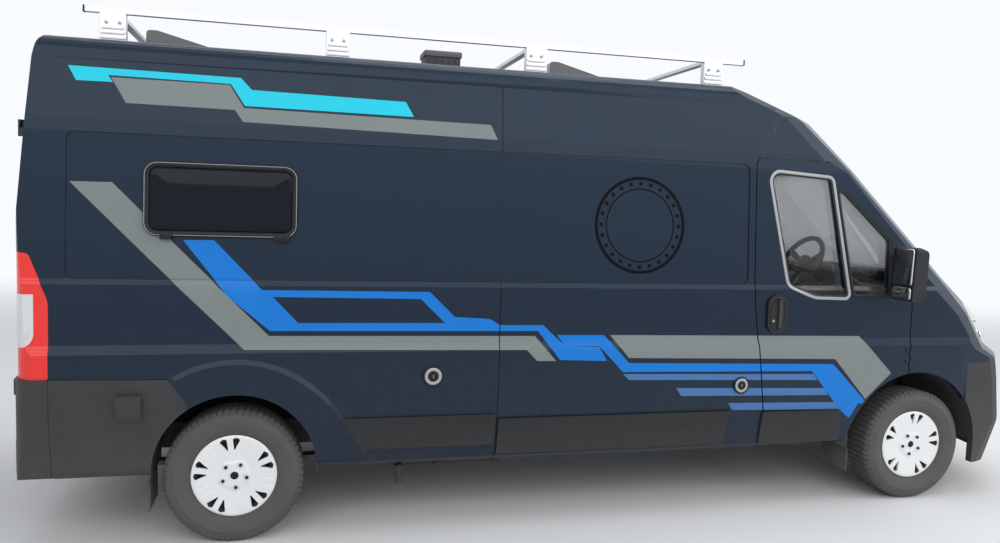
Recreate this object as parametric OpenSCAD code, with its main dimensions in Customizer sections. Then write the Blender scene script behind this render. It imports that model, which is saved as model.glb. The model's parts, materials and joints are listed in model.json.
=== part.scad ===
// High-roof camper van on a long panel-van body, right-hand drive.
// X runs forward, Y to the left, Z up. The origin is on the ground below the middle of the body.

/* [Body] */
// Rear axle to the rear end of the body
rear_overhang = 1015; // [950:1:1080]
// Widest half width of the body, at the waist
half_width = 1025; // [980:1:1060]
// Height of the roof at its middle
roof_height = 2512; // [2400:1:2600]
// Height of the sill's underside
sill_height = 345; // [320:1:370]
// Thickness of the body walls and doors
wall = 45; // [35:1:60]
// Gap round every part that opens
shut_gap = 6; // [5:0.5:8]

/* [Running gear] */
// Distance between the axles
wheelbase = 4035; // [3900:1:4150]
// Front axle to the front of the bumper
front_overhang = 948; // [900:1:1000]
// Outer radius of the tyres
tyre_radius = 341; // [320:1:350]
// Width of the tyres
tyre_width = 215; // [195:1:235]
// Radius at the tyre's bead seat
bead_radius = 190.5; // [180:0.5:203]
// Centre plane of the front wheels in from the widest half width
front_wheel_inset = 120; // [110:1:145]
// Centre plane of the rear wheels in from the widest half width
rear_wheel_inset = 130; // [120:1:155]
// Radius of the wheel spindles
spindle_radius = 32; // [26:0.5:38]

/* [Openings] */
// Seam between the front door and the body side behind it
door_rear_x = 882; // [840:1:920]
// Front edge of the front doors
door_front_x = 1960; // [1930:1:1980]
// Seam between the middle and the rear side panels
quarter_seam_x = -635; // [-700:1:-580]
// Width of the rear corner posts beside the rear doors, at the waist
rear_post = 237; // [220:1:285]
// Length of the side windows' frames
window_length = 710; // [600:1:760]
// Height of the side windows' frames
window_height = 350; // [280:1:380]
// Middle of the side windows behind the rear axle
window_back = 66; // [20:1:120]
// Middle of the side windows above the ground
window_z = 1725; // [1690:1:1760]

/* [Roof rack] */
// Height of the rack's rails above the roof edge
rack_rise = 150; // [110:1:180]
// Distance of each rail in from the widest half width
rack_inset = 265; // [225:1:325]

/* [Hidden] */
$fn = 48;
front_axle_x = 2051;
front_x = front_axle_x + front_overhang;
rear_axle_x = front_axle_x - wheelbase;
rear_x = rear_axle_x - rear_overhang;
axle_z = tyre_radius;
seat_gap = 0.4;
rear_face_x = rear_x + 31;
roof_seam_z = roof_height - 140;
gutter_z = roof_seam_z - 276;
recess_top_z = gutter_z - 66;
// Limits of cuts through the sides: outside the body, and behind the side walls
side_y = half_width + 175;
skin_y = half_width - 225;
arch_inner_y = half_width - 625;
rear_opening_half = half_width - rear_post;
window_x = rear_axle_x - window_back;
rack_half = half_width - rack_inset;
front_wheel_y = -half_width + front_wheel_inset;
rear_wheel_y = -half_width + rear_wheel_inset;
arch_back_y = front_wheel_y + 435;
rear_arch_back_y = rear_wheel_y + 255;
waist_z = 1322;
swage_z = 996;
nose_axis_x = -600;
cowl_x = front_axle_x + 421;
cowl_z = 1345;
hood_front_x = front_x - 104;
hood_front_z = 1085;
hood_half = half_width - 255;
hood_nose_half = half_width - 435;
hood_skin = 12;
hood_frame_inset = 40;
front_arch = [front_axle_x - 16, 350, 455];
rear_arch = [rear_axle_x + 6, 370, 398];
bumper_top_z = 860;
bumper_seam_x = front_axle_x + 349;
rear_step_z = 540;
lamp_seam_x = rear_x + 181;
cladding_thick = 9;
floor_z = 535;
floor_thick = 45;
rail_y = 600;
dash_half = half_width - 175;
sill_beam_y = half_width - 153;
jack_x = 1300;
jack_drop = 12;
rail_depth = 90;
front_rail_y = 430;

// Outlines
function unit(v) = v / norm(v);
function corner(a, b, c, r, steps) = r <= 0 ? [b] :
    let (u = unit(a - b), v = unit(c - b), half = acos(u * v) / 2,
         m = b + unit(u + v) * r / sin(half), s = b + u * r / tan(half) - m, e = b + v * r / tan(half) - m,
         start = atan2(s.y, s.x), sweep = atan2(cross(s, e), s * e))
    [for (i = [0:steps]) m + r * [cos(start + sweep * i / steps), sin(start + sweep * i / steps)]];
function flat(p) = [p.x, p.y];
function rounded(p, steps = 6) = let (n = len(p))
    [for (i = [0:n - 1]) each corner(flat(p[(i + n - 1) % n]), flat(p[i]), flat(p[(i + 1) % n]), p[i].z,
        steps)];
function inset(p, t) = let (n = len(p)) [for (i = [0:n - 1])
    let (a = flat(p[(i + n - 1) % n]), b = flat(p[i]), c = flat(p[(i + 1) % n]), u = unit(b - a),
        v = unit(c - b),
         nu = [-u.y, u.x], nv = [-v.y, v.x], q = b + t * (nu + nv) / (1 + nu * nv), bend = cross(u, v))
    [q.x, q.y, p[i].z == 0 ? 0 : max(p[i].z - sign(bend) * t, 1)]];
function box_outline(x0, y0, x1, y1, r) = [[x0, y0, r], [x1, y0, r], [x1, y1, r], [x0, y1, r]];
function mirrored(half) = concat(half, [for (i = [len(half) - 1:-1:0]) [-half[i].x, half[i].y, half[i].z]]);

// A prism over an outline in X and Z, from y0 to y1
module prism_xz(outline, y0, y1) {
    translate([0, y1, 0]) rotate([90, 0, 0]) linear_extrude(y1 - y0) polygon(outline);
}
// A prism over an outline in Y and Z, from x0 to x1
module prism_yz(outline, x0, x1) {
    translate([x0, 0, 0]) rotate([90, 0, 90]) linear_extrude(x1 - x0) polygon(outline);
}
module prism_xy(outline, z0, z1) {
    translate([0, 0, z0]) linear_extrude(z1 - z0) polygon(outline);
}
module block(x0, x1, y0, y1, z0, z1) {
    translate([x0, y0, z0]) cube([x1 - x0, y1 - y0, z1 - z0]);
}
module left() { mirror([0, 1, 0]) children(); }
module both() { children(); mirror([0, 1, 0]) children(); }
module axle_rod(x, y0, y1, z, r) {
    translate([x, y1, z]) rotate([90, 0, 0]) cylinder(r = r, h = y1 - y0, $fn = r > 200 ? 240 : 48);
}
module post(x, y, z0, z1, r) {
    translate([x, y, z0]) cylinder(r = r, h = z1 - z0);
}

// Half of the body's cross-section: half width, height, corner radius
section_half = [
    [half_width - 125, sill_height, 15],
    [half_width - 48, sill_height + 40, 30],
    [half_width - 10, 620, 0],
    [half_width, 800, 0],
    [half_width, swage_z - 22, 10],
    [half_width - 14, swage_z + 24, 10],
    [half_width - 18, waist_z - 12, 5],
    [half_width - 30, waist_z + 14, 5],
    [half_width - 82, recess_top_z, 0],
    [half_width - 88, gutter_z, 0],
    [half_width - 126, roof_seam_z, 0],
    [half_width - 138, roof_height - 34, 90],
    [600, roof_height - 16, 0],
    [300, roof_height - 4, 0]];
// Centre line of the cab and nose: forward place, height, corner radius
front_profile = [
    [front_x - 74, 215, 40],
    [front_x, 420, 150],
    [front_x, 730, 110],
    [front_x - 72, 915, 150],
    [hood_front_x, hood_front_z, 60],
    [cowl_x, cowl_z, 60],
    [cowl_x - (roof_height - cowl_z), roof_height, 860]];
// Plan of the body, right half: forward place, half width, corner radius
plan_half = [
    [rear_face_x, half_width + 3, 105],
    [front_axle_x + 249, half_width + 3, 500],
    [front_x - 94, half_width - 40, 350],
    [front_x + 60, 400, 0]];
// Rear end seen from the side: forward place, height, corner radius
rear_profile = [
    [rear_face_x, 100, 0],
    [front_x + 300, 100, 0],
    [front_x + 300, roof_height + 1, 0],
    [rear_face_x + 96, roof_height + 1, 110],
    [rear_face_x + 66, roof_seam_z, 0],
    [rear_face_x, 1500, 900]];

module section_form(t) {
    prism_yz(rounded(inset(mirrored(section_half), t)), rear_x - 100, front_x + 200);
}
module nose_form(t) {
    outline = rounded(inset(concat([[-400, 100, 0]], [[front_x - 110, 100, 0]], front_profile,
        [[-400, roof_height, 0]]), t), 10);
    union() {
        translate([nose_axis_x, 0, 0]) rotate_extrude($fn = 400)
            polygon(concat([[0, outline[0].y]],
                [for (p = outline) if (p.x - nose_axis_x > 250) [p.x - nose_axis_x, p.y]],
                [[0, roof_height - t]]));
        block(rear_x - 100, 400, -side_y, side_y, 100 + t, roof_height + 50);
    }
}
module plan_form(t) {
    outline = concat([for (i = [len(plan_half) - 1:-1:0]) plan_half[i]], [for (p = plan_half) [p.x, -p.y,
        p.z]]);
    prism_xy(rounded(inset(outline, t), 8), 100, roof_height + 100);
}
module rear_form(t) {
    prism_xz(rounded(inset(rear_profile, t), 8), -side_y, side_y);
}

corner_top_z = roof_height + 18;
// Front corners: distance in from the square corner along a line at 45 degrees in plan, height, corner radius
corner_cut = [
    [365, 100, 0],
    [309, 230, 60],
    [243, 480, 200],
    [267, 760, 60],
    [285, 885, 30],
    [359, 945, 40],
    [459, 1160, 150],
    [575, 1320, 150],
    [1135, roof_height - 482, 600],
    [1395, roof_height - 192, 200],
    [1655, roof_height - 62, 0],
    [1845, corner_top_z, 0]];
// The same corner on a plane turned half as far from the side
corner_side_cut = [for (p = corner_cut) [23.5 + 0.5416 * p.x + 0.053 * max(p.y - 1000, 0), p.y, p.z]];
module corner_plane(cut, turn, t) {
    reach = front_x * cos(turn) + half_width * sin(turn);
    outline = concat([[-4000, 100, 0]], [for (p = cut) [reach - p.x, p.y, p.z]], [[-4000, corner_top_z, 0]]);
    rotate(-turn) prism_xz(rounded(inset(outline, t), 4), -4000, 4000);
}
module corner_form(t) {
    intersection() {
        corner_plane(corner_cut, 45, t);
        mirror([0, 1, 0]) corner_plane(corner_cut, 45, t);
        corner_plane(corner_side_cut, 67.5, t);
        mirror([0, 1, 0]) corner_plane(corner_side_cut, 67.5, t);
    }
}

module body_skin_mid() {
    difference() { section_form(0); section_form(wall); }
}
module body_skin_rear() {
    difference() {
        intersection() { section_form(0); plan_form(0); rear_form(0); }
        intersection() { section_form(wall); plan_form(wall); rear_form(wall); }
    }
}
module cab_form(t) {
    intersection() { section_form(t); plan_form(t); nose_form(t); corner_form(t); }
}
// The cab's skin between two depths
module cab_layer(t0, t1) {
    difference() { cab_form(t0); cab_form(t1); }
}
module body_skin_cab() { cab_layer(0, wall); }
// Everything behind the radius r about the nose's upright axis
module inside_radius(r) {
    translate([nose_axis_x, 0, 0]) cylinder(r = r, h = 3000, $fn = 400);
}
cowl_radius = cowl_x - nose_axis_x;

// Outlines in X and Z of what is cut through the sides
door_outline = [
    [1013 + shut_gap, sill_height + 17, 20],
    [door_front_x, sill_height + 17, 0],
    [door_front_x, 1535, 60],
    [1490, 2005, 60],
    [1380, 2062, 60],
    [door_rear_x + shut_gap, 2066, 40],
    [door_rear_x + shut_gap, 1250, 200],
    [945 + shut_gap, 780, 300]];
door_window = [[1113, 1337, 60], [1282, 1273, 200], [1508, 1268, 20], [1385, 1965, 30], [977, 1990, 50]];
quarter_window = [[1545, 1276, 15], [1797, 1276, 30], [1805, 1605, 40], [1424, 1940, 25]];
window_outline = box_outline(window_x - window_length / 2, window_z - window_height / 2,
    window_x + window_length / 2, window_z + window_height / 2, 60);
frame_rim = 22;
lamp_outline = [[rear_x - 80, 859, 0], [lamp_seam_x, 859, 12], [lamp_seam_x, 1230, 160], [rear_x + 94,
    1452, 25],
    [rear_x - 80, 1475, 0]];
lamp_inner_y = rear_opening_half + 46;
headlamp_outline = [[front_x - 199, bumper_top_z, 20], [front_x - 9, bumper_top_z, 0], [front_x - 9, 1000, 0],
    [front_x - 299, 1215, 0], [front_x - 499, 1290, 30], [front_x - 439, 1130, 60]];
cladding_outline = [[lamp_seam_x, 352, 0], [rear_axle_x - 166, 352, 0], [rear_axle_x - 224, 738, 0],
    [rear_axle_x - 306, 850, 10], [lamp_seam_x, 859, 0]];
// Plan of the bonnet's right half and its shut line: forward place, half width, corner radius
hood_right = [[cowl_x - 222, hood_half, 0], [front_x - 429, hood_half, 60], [front_x - 279,
    hood_nose_half, 80],
    [front_x + 101, hood_nose_half, 0]];
hood_outline = concat([for (p = hood_right) [p.x, -p.y, p.z]], [for (i = [3:-1:0]) hood_right[i]]);
hood_edge_z = hood_front_z - 16;
screen_low_half = half_width - 225;
screen_top_half = half_width - 300;
screen_outline = [[-screen_low_half, cowl_z + 50, 50], [screen_low_half, cowl_z + 50, 50],
    [screen_top_half, gutter_z - 56, 90], [-screen_top_half, gutter_z - 56, 90]];
rear_window = box_outline(-rear_opening_half + 88, gutter_z - 606, -110, gutter_z - 136, 60);

module arch_cut(a) {
    axle_rod(a.x, -side_y, -arch_inner_y, a.y, a.z);
    block(a.x - a.z, a.x + a.z, -side_y, -arch_inner_y, 0, a.y);
}

// Body panels
module roof() {
    color("#2b333c") intersection() {
        difference() {
            intersection() { section_form(0); rear_form(0); nose_form(0); corner_form(0); }
            intersection() { section_form(wall); rear_form(wall); nose_form(wall); corner_form(wall); }
        }
        block(rear_x, front_x, -side_y, side_y, roof_seam_z + seat_gap / 2, roof_height + 10);
    }
}
// Shallow recess that runs along both sides between the waist line and the gutter
recess_outline = box_outline(rear_x + 250, waist_z + 13, door_rear_x - 40, recess_top_z, 40);
recess_depth = 6;
seam_width = 5;
module side_relief() {
    difference() {
        union() {
            prism_xz(rounded(recess_outline), -side_y, -skin_y);
            block(quarter_seam_x - seam_width / 2, quarter_seam_x + seam_width / 2, -side_y, -skin_y, 0,
                roof_height);
        }
        section_form(recess_depth);
    }
}
// Flared lip round the rear wheel arch: its width, how far it stands out and the slope of its edge
flare_width = 177;
flare_out = 12;
flare_slope = 2;
module flare_zone(t) {
    depth = flare_out + wall;
    outer = rear_arch.z + flare_width + t - flare_slope * flare_out;
    translate([rear_arch.x, -half_width - flare_out, rear_arch.y]) rotate([-90, 0, 0])
        cylinder(r1 = outer, r2 = outer + flare_slope * depth, h = depth, $fn = 240);
}
module arch_flare() {
    difference() {
        intersection() {
            section_form(-flare_out);
            flare_zone(0);
            block(rear_x, front_x, -side_y, 0, sill_height + 60, gutter_z);
        }
        section_form(wall / 2);
        prism_xz(rounded(inset(cladding_outline, -seat_gap)), -side_y, -skin_y);
    }
}
module quarter_panel() {
    difference() {
        union() {
            intersection() {
                body_skin_rear();
                block(rear_x, quarter_seam_x - seat_gap / 2, -side_y, -rear_opening_half - shut_gap,
                    0, roof_seam_z - seat_gap / 2);
            }
            arch_flare();
        }
        side_relief();
        prism_xz(rounded(inset(window_outline, frame_rim)), -side_y, -skin_y);
        arch_cut(rear_arch);
        axle_rod(rear_arch.x, -half_width + 47, rear_arch_back_y + 40, rear_arch.y, rear_arch.z + 7);
        prism_xz(rounded(inset(lamp_outline, -seat_gap)), -side_y, -lamp_inner_y + seat_gap);
    }
}
module quarter_right() { color("#2b333c") quarter_panel(); }
module quarter_left() { color("#2b333c") left() quarter_panel(); }
module middle_panel() {
    difference() {
        middle_wall();
        side_relief();
    }
}
module middle_wall() {
    intersection() {
        body_skin_mid();
        block(quarter_seam_x + seat_gap / 2, 1100, -side_y, -rear_opening_half - shut_gap,
            0, roof_seam_z - seat_gap / 2);
        prism_xz(rounded([[quarter_seam_x, 0, 0], [1013, 0, 0], [1013, sill_height + 17, 0], [945, 780, 300],
            [door_rear_x, 1250, 200], [door_rear_x, roof_height, 0], [quarter_seam_x, roof_height, 0]]),
                -side_y, 0);
    }
}
module mid_panel_right() { color("#2b333c") middle_panel(); }
module sliding_door() { color("#2b333c") left() middle_panel(); }
module cab_frame() {
    color("#2b333c") difference() {
        intersection() {
            body_skin_cab();
            block(door_rear_x + seat_gap, front_x, -side_y, side_y, 1300 + seat_gap,
                roof_seam_z - seat_gap / 2);
            inside_radius(cowl_radius);
        }
        both() prism_xz(rounded(inset(door_outline, -shut_gap)), -side_y, -500);
        prism_yz(rounded(screen_outline), 1500, front_x);
    }
}
// The load floor, the sloping board ahead of the pedals and the rails under them
toe_board = [[1900, floor_z - floor_thick], [1925, floor_z - floor_thick], [2000, 720], [2300, 890],
    [2300, 1290],
    [2260, 1290], [2260, 915], [1970, 750], [1880, floor_z], [1880, floor_z - floor_thick]];
module floor_pan() {
    color("#15171a") difference() {
        union() {
            intersection() {
                section_form(wall + seat_gap);
                block(rear_x + 99, door_rear_x, -side_y, side_y, floor_z - floor_thick, floor_z);
            }
            intersection() {
                section_form(wall + shut_gap + 2);
                block(door_rear_x - 1, 1925, -side_y, side_y, floor_z - floor_thick, floor_z);
            }
            prism_xz(toe_board, -dash_half, dash_half);
            both() {
                block(rear_x + 119, 1300, -rail_y - 40, -rail_y + 40, floor_z - floor_thick - rail_depth,
                    floor_z - floor_thick + 1);
                block(1200, 2780, -front_rail_y - 30, -front_rail_y + 30, floor_z - floor_thick - rail_depth,
                    floor_z - floor_thick + 1);
                block(1100, 1300, -rail_y - 40, -front_rail_y + 30, floor_z - floor_thick - rail_depth,
                    floor_z - floor_thick + 1);
                block(1014, front_arch.x - front_arch.z - 8, -sill_beam_y, -skin_y, sill_height,
                    floor_z - floor_thick + 1);
                block(jack_x - 40, jack_x + 40, -sill_beam_y, -skin_y, sill_height - jack_drop,
                    sill_height + 1);
            }
        }
        both() {
            axle_rod(front_arch.x, -side_y, arch_back_y, front_arch.y, front_arch.z + 7);
            axle_rod(rear_arch.x, -side_y, rear_arch_back_y, rear_arch.y, rear_arch.z + 9);
        }
    }
}
module wings() {
    color("#2b333c") both() difference() {
        intersection() {
            body_skin_cab();
            block(door_front_x + shut_gap, front_x, -side_y, -hood_nose_half + 90, 500, 1400);
        }
        intersection() {
            block(0, front_x, -side_y, 0, 1300, 2600);
            inside_radius(cowl_radius + seat_gap);
        }
        prism_xy(rounded(inset(hood_outline, -shut_gap)), 0, 3000);
        prism_xz(rounded(inset(headlamp_outline, -seat_gap)), -side_y, 0);
        arch_cut(front_arch);
        block(bumper_seam_x, front_x, -side_y, 0, 0, bumper_top_z + seat_gap);
        block(front_x - 199, front_x, -side_y, 0, 0, 3000);
        for (z = front_hinge_z) post(front_hinge.x, front_hinge.y, z - 2, z + 42, hinge_radius + 4);
    }
}
// Bonnet hinge: its pin runs along Y just above the foot of the windscreen
hood_hinge_y = -hood_half + 95;
hood_hinge_back = 21.925;
hood_hinge = [nose_axis_x + sqrt(pow(cowl_radius, 2) - pow(hood_hinge_y, 2)) - hood_hinge_back, cowl_z + 43];
hood_hinge_radius = 8;
hood_arm = [[0, -8], [20, -14], [34, -36], [34, -63], [75, -88], [75, -48], [30, 6], [0, 8]];
module hood() {
    color("#2b333c") difference() {
        union() {
            difference() {
                union() {
                    intersection() {
                        cab_layer(0, hood_skin);
                        prism_xy(rounded(hood_outline), hood_edge_z, 1500);
                    }
                    intersection() {
                        cab_layer(hood_skin - 1, wall);
                        prism_xy(rounded(inset(hood_outline, hood_frame_inset)), hood_edge_z, 1500);
                    }
                }
                inside_radius(cowl_radius + shut_gap);
            }
            both() {
                axle_rod(hood_hinge.x, hood_hinge_y - 15, hood_hinge_y + 15, hood_hinge.y, hood_hinge_radius);
                prism_xz([for (p = hood_arm) p + hood_hinge], hood_hinge_y - 15, hood_hinge_y + 15);
            }
        }
        both() axle_rod(hood_hinge.x, hood_hinge_y - 16, hood_hinge_y + 16, hood_hinge.y,
            pin_radius + pin_clear);
    }
}
// Slots of the lower intake and of the grille
intake_half = hood_nose_half - 70;
intake_slots = 3;
intake_slot = 44;
intake_pitch = 68;
grille_half = hood_nose_half - 60;
grille_slots = 4;
grille_slot = 24;
grille_pitch = 42;
module bumper_form(t) {
    intersection() { plan_form(t); nose_form(t); corner_form(t); }
}
module front_bumper() {
    color("#1b1c1e") difference() {
        intersection() {
            difference() { bumper_form(0); bumper_form(wall); }
            block(bumper_seam_x + seat_gap, front_x, -side_y, side_y, 215, bumper_top_z);
        }
        both() arch_cut(front_arch);
        for (i = [0:intake_slots - 1]) block(front_x - 199, front_x + 50, -intake_half, intake_half,
            300 + i * intake_pitch, 300 + i * intake_pitch + intake_slot);
    }
}
module grille() {
    color("#151617") difference() {
        intersection() {
            nose_form(0);
            block(front_x - 499, front_x, -hood_nose_half - shut_gap + seat_gap,
                hood_nose_half + shut_gap - seat_gap,
                bumper_top_z + seat_gap, hood_edge_z - shut_gap);
        }
        nose_form(wall);
        for (i = [0:grille_slots - 1]) block(front_x - 499, front_x + 50, -grille_half, grille_half,
            bumper_top_z + 24 + i * grille_pitch, bumper_top_z + 24 + i * grille_pitch + grille_slot);
    }
}
module headlamps() {
    color("#c9d3da") both() difference() {
        intersection() {
            body_skin_cab();
            prism_xz(rounded(inset(headlamp_outline, seat_gap)), -side_y, -hood_nose_half + 90);
        }
        prism_xy(rounded(inset(hood_outline, -shut_gap)), 0, 3000);
    }
}
module windscreen() {
    color("#3a4348", 0.5) intersection() {
        difference() { nose_form(5); nose_form(11); }
        prism_yz(rounded(inset(screen_outline, seat_gap)), 1500, front_x);
    }
}
module tail_lamps() {
    color("#8f1216") both() intersection() {
        body_skin_rear();
        prism_xz(rounded(inset(lamp_outline, seat_gap)), -side_y, -lamp_inner_y - seat_gap);
    }
}
module rear_bumper() {
    color("#1b1c1e") {
        difference() {
            intersection() { section_form(-12); plan_form(-12); }
            intersection() { section_form(-seat_gap); plan_form(-seat_gap); }
            block(lamp_seam_x - seat_gap, front_x + 300, -side_y, side_y, 0, 3000);
            block(rear_x - 10, front_x, -rear_opening_half - 30, rear_opening_half + 30, rear_step_z, 3000);
            block(rear_x - 10, front_x, -side_y, side_y, 859, 3000);
            block(rear_x - 10, front_x, -side_y, side_y, 0, 365);
        }
        block(rear_x, rear_face_x - 12, -half_width + 145, half_width - 145, 372, rear_step_z);
    }
}
module outer_plate(outline, t) {
    intersection() {
        difference() { section_form(-t); section_form(-seat_gap); }
        prism_xz(outline, -side_y, -skin_y);
    }
}
module rear_claddings() {
    color("#232527") both() difference() {
        outer_plate(rounded(cladding_outline), cladding_thick);
        arch_cut(rear_arch);
        axle_rod(rear_arch.x, -half_width + 47, rear_arch_back_y + 40, rear_arch.y, rear_arch.z + 7);
    }
}
// Mouldings along the sills
mouldings = [
    box_outline(rear_axle_x + 484, 455, quarter_seam_x - 10, 628, 8),
    [[quarter_seam_x + 7, 400, 8], [door_rear_x - 152, 400, 8], [door_rear_x - 122, 602, 8],
        [quarter_seam_x + 7, 602, 8]]];
moulding_thick = 13;
door_moulding = [[971, 388, 8], [1520, 388, 8], [1500, 585, 8], [971, 588, 8]];
module side_mouldings() {
    color("#232527") both() difference() {
        for (m = mouldings) outer_plate(rounded(m), moulding_thick);
        flare_zone(seat_gap);
    }
}
module window_frames() {
    color("#1a1b1d") both() difference() {
        intersection() {
            difference() { section_form(-12); section_form(recess_depth - seat_gap); }
            prism_xz(rounded(window_outline), -side_y, -skin_y);
        }
        prism_xz(rounded(inset(window_outline, frame_rim)), -side_y, -skin_y);
    }
}
module window_panes() {
    color("#20262b") both() intersection() {
        difference() { section_form(-9); section_form(-3); }
        prism_xz(rounded(inset(window_outline, frame_rim + seat_gap)), -side_y, -skin_y);
    }
}
module liner(a, y0, y1) {
    difference() {
        axle_rod(a.x, y0, y1, a.y, a.z + 6.5);
        axle_rod(a.x, y0 - 1, y1 + 1, a.y, a.z + 0.5);
        block(a.x - 600, a.x + 600, y0 - 1, y1 + 1, -300, sill_height + 5);
    }
}
module wheel_liners() {
    color("#0e0f10") both() {
        liner(front_arch, -sill_beam_y, arch_back_y);
        difference() {
            liner(front_arch, -half_width + 75, -sill_beam_y + 1);
            block(front_arch.x - 600, front_arch.x, -side_y, -skin_y, 0, 560);
        }
        liner(rear_arch, -half_width + 50, rear_arch_back_y);
    }
}

// Running gear
module engine_block() {
    color("#4a4d50") union() {
        block(2310, 2770, -330, 330, 330, 900);
        block(2330, 2680, 330, front_rail_y - 34, 330, 700);
    }
}
kingpin_y = front_wheel_y + 105;
hub_face = 20;
module front_subframe() {
    color("#1c1d1f") {
        block(front_axle_x - 120, front_axle_x + 400, -front_rail_y - 40, front_rail_y + 40, 262, 329.6);
        both() block(front_axle_x - 120, front_axle_x - 20, -front_rail_y - 30, -front_rail_y + 30, 329,
            floor_z - floor_thick - rail_depth - seat_gap);
        both() {
            difference() {
                union() {
                    block(front_axle_x - 30, front_axle_x + 30, kingpin_y, -front_rail_y - 30, 215, 262);
                    post(front_axle_x, kingpin_y, 215, 245, 30);
                    post(front_axle_x, kingpin_y + 110, 440, 796, 38);
                    block(front_axle_x - 24, front_axle_x + 24, kingpin_y, kingpin_y + 110, 440, 468);
                    post(front_axle_x, kingpin_y, 440, 468, 30);
                    block(front_axle_x - 24, front_axle_x + 24, kingpin_y + 100, -front_rail_y - 50, 700,
                        740);
                    block(front_axle_x - 24, front_axle_x + 24, -front_rail_y - 80, -front_rail_y - 42,
                        300, 740);
                }
                post(front_axle_x, kingpin_y, 200, 480, 14.3);
                block(front_axle_x - 40, front_axle_x + 40, kingpin_y - 40, kingpin_y + 40, 246, 439);
            }
        }
    }
}
module knuckle() {
    union() {
        axle_rod(front_axle_x, front_wheel_y - hub_face + seat_gap, kingpin_y + 30, axle_z, 62);
        axle_rod(front_axle_x, front_wheel_y - hub_face - 28, kingpin_y, axle_z, spindle_radius);
        axle_rod(front_axle_x, kingpin_y - 62, kingpin_y - 38, axle_z, 140);
        post(front_axle_x, kingpin_y, 212, 472, 14);
        block(front_axle_x - 26, front_axle_x + 26, kingpin_y - 14, kingpin_y + 14, 252, 434);
    }
}
module knuckle_right() { color("#55585b") knuckle(); }
module knuckle_left() { color("#55585b") left() knuckle(); }
spring_y = -rail_y;
spring_eye_z = floor_z - floor_thick - rail_depth - seat_gap;
// Leaf spring seen from the side, from the underside of the chassis rail
spring_outline = [[-700, 0], [-700, -60], [-640, -78], [0, -124], [640, -78], [700, -60], [700, 0], [650, 0],
    [630, -56], [0, -100], [-630, -56], [-650, 0]];
module rear_axle() {
    color("#1c1d1f") {
        axle_rod(rear_axle_x, rear_wheel_y + 105, -rear_wheel_y - 105, axle_z, 42);
        both() {
            axle_rod(rear_axle_x, rear_wheel_y - hub_face + seat_gap, rear_wheel_y + 135, axle_z, 62);
            axle_rod(rear_axle_x, rear_wheel_y - hub_face - 28, rear_wheel_y + 95, axle_z, spindle_radius);
            axle_rod(rear_axle_x, rear_wheel_y + 43, rear_wheel_y + 67, axle_z, 140);
            prism_xz([for (p = spring_outline) p + [rear_axle_x, spring_eye_z]], spring_y - 35,
                spring_y + 35);
        }
    }
}
// Waste tank ahead of the rear axle and fresh-water tank behind the cab
waste_tank_x = rear_axle_x + 834;
module underfloor_tanks() {
    color("#191a1b") {
        block(waste_tank_x, waste_tank_x + 650, -rail_y + 50, -120, 215, floor_z - floor_thick - seat_gap);
        block(150, 1090, 60, rail_y - 50, 205, floor_z - floor_thick - seat_gap);
        axle_rod(waste_tank_x + 30, -rail_y - 160, -rail_y + 55, 265, 22);
        post(waste_tank_x + 30, -rail_y - 135, 180, 265, 20);
        axle_rod(waste_tank_x + 261, -rail_y - 40, -rail_y + 55, 240, 16);
    }
}
// Wheels, about their own middle with the outer face towards -Y
// Rim and disc in one outline: radius, distance out from the middle plane, corner radius
rim_profile = [[181, -80, 0], [208, -80, 2], [208, -73, 2], [bead_radius, -66, 4], [bead_radius, -34, 4],
    [170, -14, 8],
    [170, 12, 8], [bead_radius, 40, 4], [bead_radius, 66, 4], [208, 73, 2], [208, 80, 2], [184, 80, 2],
        [165, 54, 5],
    [150, 57, 0], [86, 62, 0], [46, 62, 0], [40, 70, 3], [0, 70, 0], [0, hub_face + 30, 0],
    [spindle_radius + 0.3, hub_face + 30, 0], [spindle_radius + 0.3, hub_face, 0], [78, hub_face, 0],
        [100, 34, 0],
    [160, 34, 0], [160, -30, 4], [181, -60, 4]];
// Corners of one slot beside a spoke's rib: radius, angle from the rib
slot_corners = [[98, 3.5], [152, 2.6], [155, 13], [149, 21], [98, 15]];
spokes = 5;
bolt_circle = 61;
module wheel_rim() {
    rotate([90, 0, 0]) difference() {
        rotate_extrude($fn = 96) polygon(rounded(rim_profile, 3));
        for (k = [0:spokes - 1], s = [-1, 1]) rotate(k * 360 / spokes + 90) linear_extrude(120) polygon([
            for (q = slot_corners) q.x * [cos(s * q.y), sin(s * q.y)]]);
        for (k = [0:spokes - 1]) rotate((k + 0.5) * 360 / spokes + 90)
            translate([bolt_circle, 0, hub_face + 34]) cylinder(r = 10, h = 60, $fn = 24);
    }
}
tyre_profile = [[bead_radius + 0.3, -64, 0], [208.6, -73, 6], [265, -tyre_width / 2, 40], [318, -98, 12],
    [tyre_radius - 3, -78, 10], [tyre_radius, -40, 0], [tyre_radius, 40, 0], [tyre_radius - 3, 78, 10],
        [318, 98, 12],
    [265, tyre_width / 2, 40], [208.6, 73, 6], [bead_radius + 0.3, 64, 0]];
module tyre() {
    rotate([90, 0, 0]) rotate_extrude($fn = 96) polygon(rounded(tyre_profile, 4));
}
module tyre_front_right() { color("#1d1d1e") translate([front_axle_x, front_wheel_y, axle_z]) tyre(); }
module rim_front_right() { color("#b9bcbf") translate([front_axle_x, front_wheel_y, axle_z]) wheel_rim(); }
module tyre_front_left() { color("#1d1d1e") left() translate([front_axle_x, front_wheel_y, axle_z]) tyre(); }
module rim_front_left() { color("#b9bcbf") left() translate([front_axle_x, front_wheel_y,
    axle_z]) wheel_rim(); }
module tyre_rear_right() { color("#1d1d1e") translate([rear_axle_x, rear_wheel_y, axle_z]) tyre(); }
module rim_rear_right() { color("#b9bcbf") translate([rear_axle_x, rear_wheel_y, axle_z]) wheel_rim(); }
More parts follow.
